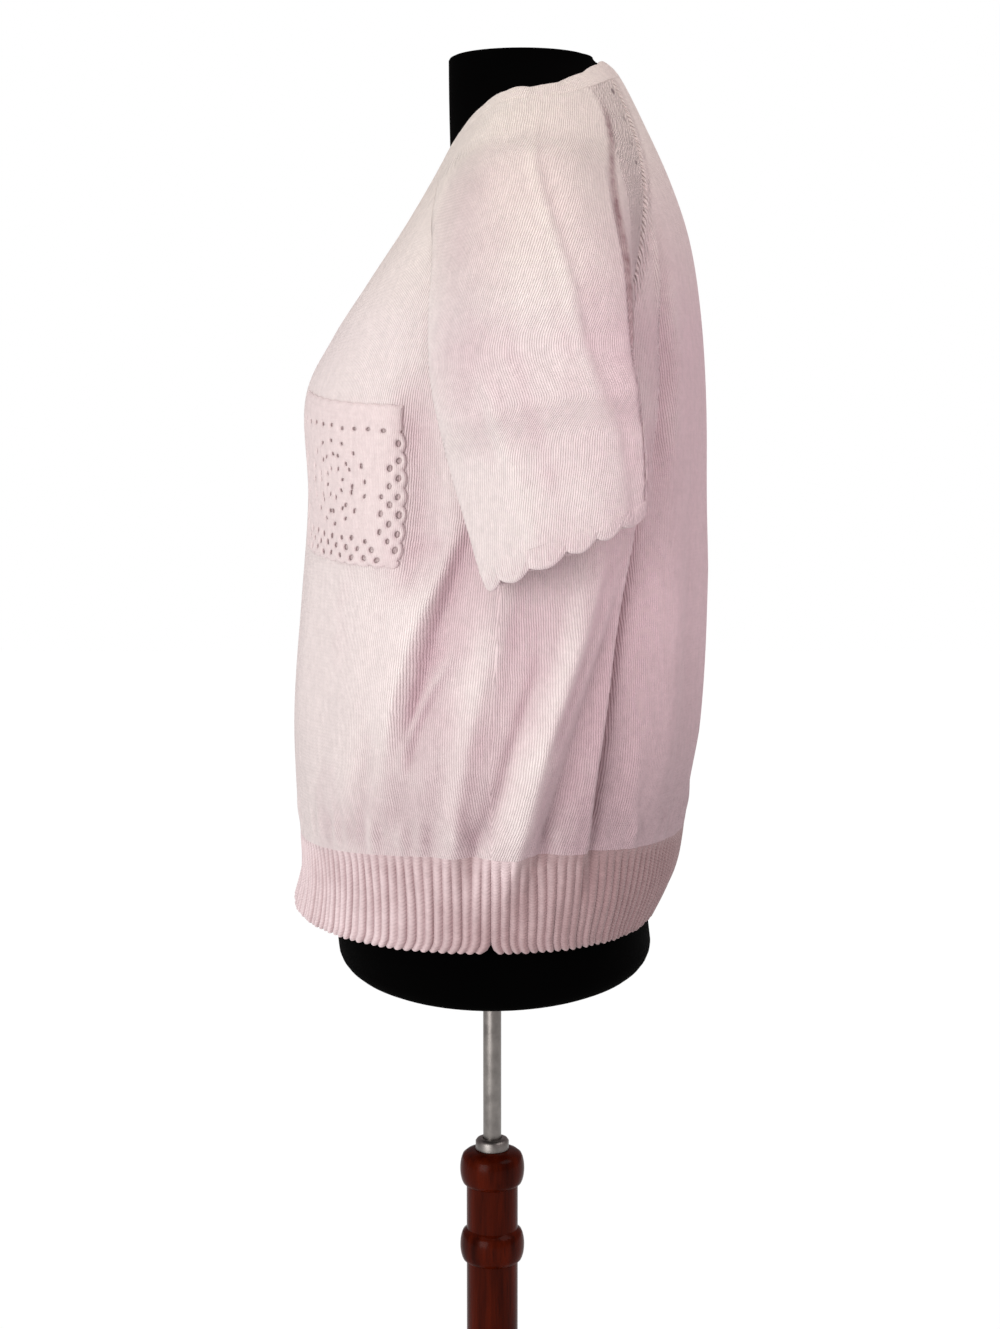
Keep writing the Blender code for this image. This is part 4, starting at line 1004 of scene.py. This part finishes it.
# Stitches of plain knitting: columns of small slanted legs with a furrow between columns. The height
# runs from 0 in a furrow to 1 on a leg.
stitchGroup, given, result = newGroup(
    "knitStitch", [("Place", "Vector", None), ("Wale", "Float", 0.0030), ("Course", "Float", 0.0023),
                   ("Shear", "Float", 0.0)], [("Height", "Float"), ("Tone", "Float")])
u, v, _ = parted(given["Place"])
u = minus(u, times(v, given["Shear"]))
u = scaled(minus(noise(given["Place"], 75.0), 0.5), 0.0017, u)
wales = calc("DIVIDE", u, given["Wale"])
half = calc("ABSOLUTE", minus(calc("FRACT", wales), 0.5))
leg = calc("POWER", calc("MAXIMUM", calc("SINE", times(half, 2 * math.pi)), 0.0), 0.8)
phase = minus(calc("DIVIDE", v, given["Course"]), times(half, 1.3))
put(times(leg, scaled(calc("POWER", humps(phase), 0.7), 0.35, 0.65)), result["Height"])
waleNumber = tree.nodes.new("ShaderNodeCombineXYZ")
put(calc("FLOOR", wales), waleNumber.inputs[0])
put(times(v, 22.0), waleNumber.inputs[1])
put(noise(waleNumber.outputs[0], 1.7, 1.0), result["Tone"])

# The yarn's colours. Cream and pink serve the yarn's own mottling and also painted light and shade; the
# third, beige, is painted light on the shoulders' tops; the rib's are darker copies, painted shade; and
# the dark ones paint shade in furrows, along creases, behind the pocket, in holes and at their rims.
yarn = {
    "cream": (0.80, 0.72, 0.70, 1), "pink": (0.67, 0.475, 0.518, 1), "shoulderLit": (0.77, 0.705, 0.635, 1),
    "furrowShade": (0.42, 0.24, 0.26, 1), "worn": (0.27, 0.15, 0.16, 1), "hole": (0.13, 0.07, 0.08, 1),
    "ribCreamShaded": (0.77, 0.63, 0.64, 1), "ribPinkShaded": (0.465, 0.30, 0.305, 1), "ribGrooveShade": (0.30, 0.18, 0.19, 1),
    "cottonCream": (0.70, 0.61, 0.60, 1), "cottonPink": (0.58, 0.43, 0.46, 1),
    "cottonHoleShade": (0.20, 0.12, 0.12, 1),
}

# The yarn's own unevenness of tone, and painted light and shade: cream where the cloth faces the front,
# on the sleeves and, beige, on the shoulders' tops; pinker where it faces the back, further back, lower
# down and in the hollows of folds; lighter on folds and darker towards the bottom.
tintGroup, given, result = newGroup(
    "yarnToneAndShade", [("Place", "Vector", None), ("Cream", "Color", yarn["cream"]),
                 ("Pink", "Color", yarn["pink"]), ("ShoulderLit", "Color", yarn["shoulderLit"]), ("Tone", "Float", 0.5),
                 ("Fold", "Float", 0.0), ("Facing", "Vector", None)], [("Color", "Color")])
x, y, z = parted(given["Place"])
# Painted shade: pinker where the cloth faces the back, further back and lower down; the noise is the yarn's
# own mottling.
toneAndShadeShare = scaled(parted(given["Facing"])[1], 0.45, scaled(y, 3.2, 0.40))
toneAndShadeShare = plus(toneAndShadeShare, times(minus(1.16, z), 1.2))
toneAndShadeShare = plus(toneAndShadeShare, times(minus(noise(given["Place"], 11.0, 6.0, 0.62), 0.5), 1.3))
# Painted light: creamier on the sleeves, which stand out beyond the body; then pinker in the hollows of
# folds.
toneAndShadeShare = scaled(ramp(calc("ABSOLUTE", x), 0.190, 22.0), -0.42, toneAndShadeShare)
toneAndShadeShare = clamped(scaled(given["Fold"], -0.45, toneAndShadeShare))
# Painted light: a beige cream on the shoulders' tops.
shoulderLitShare = ramp(z, 1.21, 7.5)
colour = mixed(toneAndShadeShare, mixed(shoulderLitShare, given["Cream"], given["ShoulderLit"]), given["Pink"])
colour = mixed(times(shoulderLitShare, 0.75), colour, given["ShoulderLit"])
fleck = noise(given["Place"], 230.0, 3.0, 0.6)
strength = plus(times(fleck, 0.28), times(given["Tone"], 0.14))
# Painted light and shade: lighter on folds and darker in hollows.
ridge = calc("MINIMUM", calc("MAXIMUM", given["Fold"], -1.6), 1.2)
strength = plus(strength, scaled(ridge, 0.05, 0.775))
# Painted shade: darker towards the bottom, more so where pinker.
strength = plus(strength, times(ramp(z, 1.02, -8.0), scaled(toneAndShadeShare, -0.24, -0.065)))
grey = tree.nodes.new("ShaderNodeCombineColor")
for index in range(3):
    put(strength, grey.inputs[index])
put(mixed(1.0, colour, grey.outputs[0], "MULTIPLY"), result["Color"])

# The raglan's decoration: pitch of the slanted stitches, pitch of the narrowing holes and their half
# length and half width, and how far they lie from the seam.
raglanLine = {"slantPitch": 0.0042, "holePitch": 0.0245, "holeLong": 0.0030, "holeWide": 0.0022,
              "holeAway": 0.0085}


def tinted(stitch, fold, **colours):
    return useGroup(tintGroup, Place=geometry("Position"), Tone=stitch["Tone"], Fold=fold,
                    Facing=geometry("Normal"), **colours)["Color"]


def wavering(value):  # a distance that wavers a little, as hand work does
    return scaled(noise(geometry("Position"), 60.0), 0.006, minus(value, 0.003))


# Painted shade: the yarn is darkened in the furrows between stitch columns, by the given depth.
def furrowShaded(stitch, colour, depth):
    return mixed(times(minus(1.0, stitch["Height"]), depth), colour, yarn["furrowShade"])


def raglanStitches(colour, height, strip, holeTop):
    away, run, _ = parted(uvOf("seam"))
    _, y, z = parted(geometry("Position"))
    mask = times(times(ramp(z, 1.16, 60.0), ramp(y, 0.03, 60.0)), ramp(away, strip, -250.0))
    slant = scaled(wavering(away), 1.6, run)
    slant = calc("SINE", times(slant, 2 * math.pi / raglanLine["slantPitch"]))
    # Painted shade in the grooves between the slanted stitches.
    colour = mixed(times(mask, scaled(slant, -0.13, 0.13)), colour, yarn["furrowShade"])
    beat = minus(calc("FRACT", calc("DIVIDE", run, raglanLine["holePitch"])), 0.5)
    spotAlong = times(beat, raglanLine["holePitch"] / raglanLine["holeLong"])
    spotAcross = calc("DIVIDE", minus(wavering(away), raglanLine["holeAway"]), raglanLine["holeWide"])
    spot = plus(*(calc("POWER", calc("ABSOLUTE", part), 2.0) for part in (spotAlong, spotAcross)))
    # Painted shade: each narrowing hole is a dark spot in the colour, standing for the shade seen through it,
    # and a dip in the bump.
    hole = times(clamped(scaled(spot, -2.2, 2.2)), mask)
    hole = times(hole, clamped(scaled(noise(geometry("Position"), 45.0), 5.0, -1.9)))
    hole = times(times(hole, ramp(z, holeTop, -80.0)), 0.8)
    height = minus(plus(height, times(slant, mask)), times(hole, 2.0))
    return mixed(hole, colour, yarn["hole"]), height


# Strip is how far slanted stitches reach from the back raglan seam, holeTop how high the narrowing holes
# go, and the last how much painted shade the whole piece takes: its fold tone is lowered by so much,
# which makes it pinker and a little darker.
def knitMaterial(name, shear=0.0, strip=0.0, holeTop=9.0, hollowShift=0.0):
    material, shader = newMaterial(name, 0.92, 0.22)
    stitch = useGroup(stitchGroup, Place=uvOf("cloth"), Shear=shear)
    fold, worn, _ = parted(uvOf("fold"))
    colour = furrowShaded(stitch, tinted(stitch, minus(fold, hollowShift)), 0.25)
    # Painted shade, broken by noise: dark lines along a crease and the sleeve's back edge, and the front
    # behind the pocket.
    rough = scaled(noise(geometry("Position"), 190.0, 3.0), 1.6, 0.1)
    colour = mixed(clamped(times(times(worn, rough), 0.85)), colour, yarn["worn"])
    height = stitch["Height"]
    if strip:
        colour, height = raglanStitches(colour, height, strip, holeTop)
    put(colour, shader.inputs["Base Color"])
    bumped(shader, height, 0.0007, 0.9)
    return material


def ribMaterial(name):
    material, shader = newMaterial(name, 0.92, 0.22)
    ribs, up, _ = parted(uvOf("seam"))
    crest = humps(ribs)
    stitch = useGroup(stitchGroup, Place=uvOf("cloth"), Wale=0.0058, Course=0.0021)
    # Painted shade: the rib's colours are darker copies of the yarn's, for the shade under the body's
    # overhang.
    colour = tinted(stitch, parted(uvOf("fold"))[0], Cream=yarn["ribCreamShaded"], Pink=yarn["ribPinkShaded"])
    # Painted shade in the grooves between the ribs, stronger towards the bottom.
    groove = clamped(minus(1.0, times(crest, 1.15)))
    nearBottom = ramp(up, 0.060, -130.0)
    colour = mixed(times(groove, scaled(nearBottom, 0.50, 0.05)), colour, yarn["ribGrooveShade"])
    put(colour, shader.inputs["Base Color"])
    phase = plus(calc("DIVIDE", up, 0.0021), times(crest, 0.6))
    bumped(shader, humps(phase), 0.0005, 0.7)
    return material


def crochetMaterial(name):
    material, shader = newMaterial(name, 0.82, 0.18)
    stitch = useGroup(stitchGroup, Place=uvOf("cloth"), Wale=0.0024, Course=0.0030)
    colour = furrowShaded(stitch, tinted(stitch, 0.0, Cream=yarn["cottonCream"], Pink=yarn["cottonPink"]), 0.28)
    # Painted shade: the crochet is darkened at the rims of its holes.
    rim = clamped(scaled(parted(uvOf("seam"))[0], -1400.0, 1.0))
    put(mixed(times(rim, 0.8), colour, yarn["cottonHoleShade"]), shader.inputs["Base Color"])
    fibre = plus(times(stitch["Height"], 0.8), noise(geometry("Position"), 900.0))
    bumped(shader, fibre, 0.0004, 0.7)
    return material


jersey = {"dark": (0.0003, 0.0003, 0.0003, 1), "dusty": (0.0012, 0.0011, 0.0011, 1), "specular": 0.012}


def jerseyMaterial(name):
    material, shader = newMaterial(name, 0.95)
    grime = noise(geometry("Position"), 14.0, 3.0)
    put(mixed(times(grime, 0.6), jersey["dark"], jersey["dusty"]), shader.inputs["Base Color"])
    shader.inputs["Specular IOR Level"].default_value = jersey["specular"]
    bumped(shader, noise(geometry("Position"), 1400.0, 1.0), 0.0002, 0.5)
    return material


wood = {"dark": (0.018, 0.0016, 0.0004, 1), "red": (0.080, 0.0070, 0.0010, 1),
        "pore": (0.008, 0.0010, 0.0004, 1), "coat": 0.02, "coatRoughness": 0.12, "specular": 0.03}


def woodMaterial(name):
    material, shader = newMaterial(name, 0.28)
    shader.inputs["Coat Weight"].default_value = wood["coat"]
    shader.inputs["Coat Roughness"].default_value = wood["coatRoughness"]
    shader.inputs["Specular IOR Level"].default_value = wood["specular"]
    grain = noise(stretched(geometry("Position"), (90, 90, 7)), 1.0, 6.0, 0.6)
    pores = noise(stretched(geometry("Position"), (700, 700, 40)), 1.0)
    colour = mixed(clamped(scaled(grain, 2.4, -0.75)), wood["dark"], wood["red"])
    put(mixed(clamped(scaled(pores, 3.0, -1.75)), colour, wood["pore"]), shader.inputs["Base Color"])
    put(scaled(grain, 0.18, 0.18), shader.inputs["Roughness"])
    bumped(shader, pores, 0.0002, 0.3)
    return material


steel = {"dark": (0.10, 0.09, 0.085, 1), "bright": (0.34, 0.32, 0.30, 1)}


def steelMaterial(name):
    material, shader = newMaterial(name, 0.42)
    shader.inputs["Metallic"].default_value = 1.0
    wear = noise(geometry("Position"), 120.0, 4.0)
    put(mixed(wear, steel["dark"], steel["bright"]), shader.inputs["Base Color"])
    put(scaled(wear, 0.3, 0.28), shader.inputs["Roughness"])
    bumped(shader, noise(stretched(geometry("Position"), (300, 300, 3000)), 1.0), 0.0001, 0.4)
    return material


knitBody = knitMaterial("knitBody", strip=0.012, holeTop=1.225)
knitSleeve = knitMaterial("knitSleeve", shear=0.22, strip=0.034)
knitEdge = knitMaterial("knitEdge", shear=0.22, hollowShift=0.12)
ribKnit = ribMaterial("ribKnit")
crochetCotton = crochetMaterial("crochetCotton")
blackJersey = jerseyMaterial("blackJersey")
stainedWood = woodMaterial("stainedWood")
dullSteel = steelMaterial("dullSteel")
print("materials made")


def finishPiece(thing, material, slot, *nodes):
    thing.data.materials.append(material)
    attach(thing, "root")
    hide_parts(*nodes)
    return thing


frontKnit = finishPiece(panelShell("frontKnit", False), knitBody, "knit", "front")
backKnit = finishPiece(panelShell("backKnit", True), knitBody, "knit", "back")
print("panels made")
frontWelt = finishPiece(weltShell("frontWelt", False), ribKnit, "rib", "front_welt")
backWelt = finishPiece(weltShell("backWelt", True), ribKnit, "rib", "back_welt")
print("welts made")
sleeves, cuffs = [], []
for word, side in (("left", 1), ("right", -1)):
    sleeves.append(finishPiece(sleeveShell("sleeve." + word, side), knitSleeve, "knit", "sleeve_" + word))
    edging = cuffShell("cuffEdging." + word, side)
    cuffs.append(finishPiece(edging, knitEdge, "crochet", "cuff_edging_" + word))
neckEdging = finishPiece(neckShell("neckEdging"), knitEdge, "crochet", "neck_edging")
print("sleeves and edgings made")
chestPocket = pocketShell("chestPocket", pocketSurface())
finishPiece(chestPocket, crochetCotton, "crochet", "chest_pocket")
print("pocket made:", len(chestPocket.data.polygons), "faces")

# The stand, as profiles of radius and height.
stand = {
    "seat": 0.7690 - 0.0003,  # top of the form's socket
    "rodRadius": 0.0065, "rodFoot": 0.5983,
    "nutFoot": 0.6283,
    "beads": (0.6140, 0.5570), "beadSwell": 0.0047, "beadHalf": 0.0125, "postRadius": 0.0185,
}
seat, rodTop, rodRadius, rodFoot = stand["seat"], stand["seat"] - 0.0093, stand["rodRadius"], stand["rodFoot"]
nutFoot, postRadius = stand["nutFoot"], stand["postRadius"]
socketProfile = [(0, seat), (0.0240, seat), (0.0240, seat - 0.0030), (0.0109, seat - 0.0063),
                 (0.0096, seat - 0.0090), (0, seat - 0.0090)]
rodProfile = [(0, rodTop), (rodRadius, rodTop), (rodRadius, rodFoot), (0, rodFoot)]
nutProfile = [(0.0069, nutFoot + 0.0080), (0.0092, nutFoot + 0.0080), (0.0108, nutFoot + 0.0074),
              (0.0120, nutFoot + 0.0058), (0.0120, nutFoot), (0.0069, nutFoot)]
postProfile = [(0, 0.598), (0.0069, 0.598), (0.0069, 0.6265), (0.0078, 0.6280), (0.0140, 0.6280)]
for centre in stand["beads"]:
    for share in np.linspace(1, -1, 13):
        swell = math.sqrt(max(0, 1 - share ** 2))
        postProfile.append((postRadius + stand["beadSwell"] * swell, centre + share * stand["beadHalf"]))
postProfile += [(postRadius, 0.0883), (0.0192, 0.0760), (0.0212, 0.0650), (0.0245, 0.0583), (0.0252, 0.0500),
                (0.0272, 0.0400), (0.0285, 0.0295), (0.0280, 0.0283), (0, 0.0283)]
baseProfile = [(0, 0.0280), (0.0935, 0.0280), (0.1200, 0.0262), (0.1496, 0.0220), (0.1600, 0.0198),
               (0.1649, 0.0170), (0.1685, 0.0142), (0.1700, 0.0110), (0.1700, 0.0040), (0.1688, 0.0012),
               (0.1660, 0), (0, 0)]
finishPiece(formObject("dressForm"), blackJersey, "jersey", "dress_form")
finishPiece(lathe("formSocket", rounded(socketProfile, 0.0006)), dullSteel, "metal", "form_socket")
finishPiece(lathe("rod", rounded(rodProfile), 48), dullSteel, "metal", "rod")
finishPiece(lathe("rodNut", nutProfile), dullSteel, "metal", "rod_nut")
finishPiece(lathe("post", postProfile), stainedWood, "wood", "post")
finishPiece(lathe("base", baseProfile, 128), stainedWood, "wood", "base")
print("form and stand made")

# The studio: a pale floor that runs out into white, a large soft key, a light above and a weak fill.
studio = {
    "target": (0.05, 0, 1.08), "floorHalf": 9,
    "paper": (0.90, 0.89, 0.89, 1), "paperRadius": 0.55,
    # Name, way to the light, distance, size, power and colour.
    "lights": [("key", (0.84, -0.54, 0.06), 3.2, 1.7, 69, (1, 0.985, 0.98)),
               ("top", (0.30, -0.1, 1), 3.0, 2.4, 38, (1, 0.99, 0.97)),
               ("fill", (0.45, 1, 1.0), 3.0, 2.0, 36, (1, 0.95, 0.95))],
    "ambient": (1, 0.86, 0.88, 1), "ambientStrength": 0.36,
}
half = studio["floorHalf"]
floorMesh = bpy.data.meshes.new("floor")
corners = [(-half, -half, 0), (half, -half, 0), (half, half, 0), (-half, half, 0)]
floorMesh.from_pydata(corners, [], [(0, 1, 2, 3)])
floor = newObject("floor", floorMesh)
paper, shader = newMaterial("paper", 0.9)
x, y, _ = parted(geometry("Position"))
radius = calc("SQRT", plus(times(x, x), times(y, y)))
white = clamped(calc("DIVIDE", minus(radius, studio["paperRadius"]), studio["paperRadius"]))
put(mixed(white, studio["paper"], (0, 0, 0, 1)), shader.inputs["Base Color"])
put(mixed(white, (0, 0, 0, 1), (1, 1, 1, 1)), shader.inputs["Emission Color"])
shader.inputs["Emission Strength"].default_value = 1.0
floorMesh.materials.append(paper)

target = Vector(studio["target"])
for name, way, distance, size, power, colour in studio["lights"]:
    data = bpy.data.lights.new(name, "AREA")
    data.size = size
    data.energy = power
    data.color = colour
    light = newObject(name, data)
    light.location = target + Vector(way).normalized() * distance
    light.rotation_euler = aimed(target - light.location)

world = bpy.data.worlds.new("studio")
bpy.context.scene.world = world
world.use_nodes = True
tree = world.node_tree
ambient = tree.nodes["Background"]
ambient.inputs[0].default_value = studio["ambient"]
ambient.inputs[1].default_value = studio["ambientStrength"]
plain = tree.nodes.new("ShaderNodeBackground")
plain.inputs[0].default_value = (1, 1, 1, 1)
choose = tree.nodes.new("ShaderNodeMixShader")
path = tree.nodes.new("ShaderNodeLightPath")
tree.links.new(path.outputs["Is Camera Ray"], choose.inputs[0])
tree.links.new(ambient.outputs[0], choose.inputs[1])
tree.links.new(plain.outputs[0], choose.inputs[2])
tree.links.new(choose.outputs[0], tree.nodes["World Output"].inputs[0])
bpy.context.scene.view_settings.view_transform = "Standard"
print("studio made")
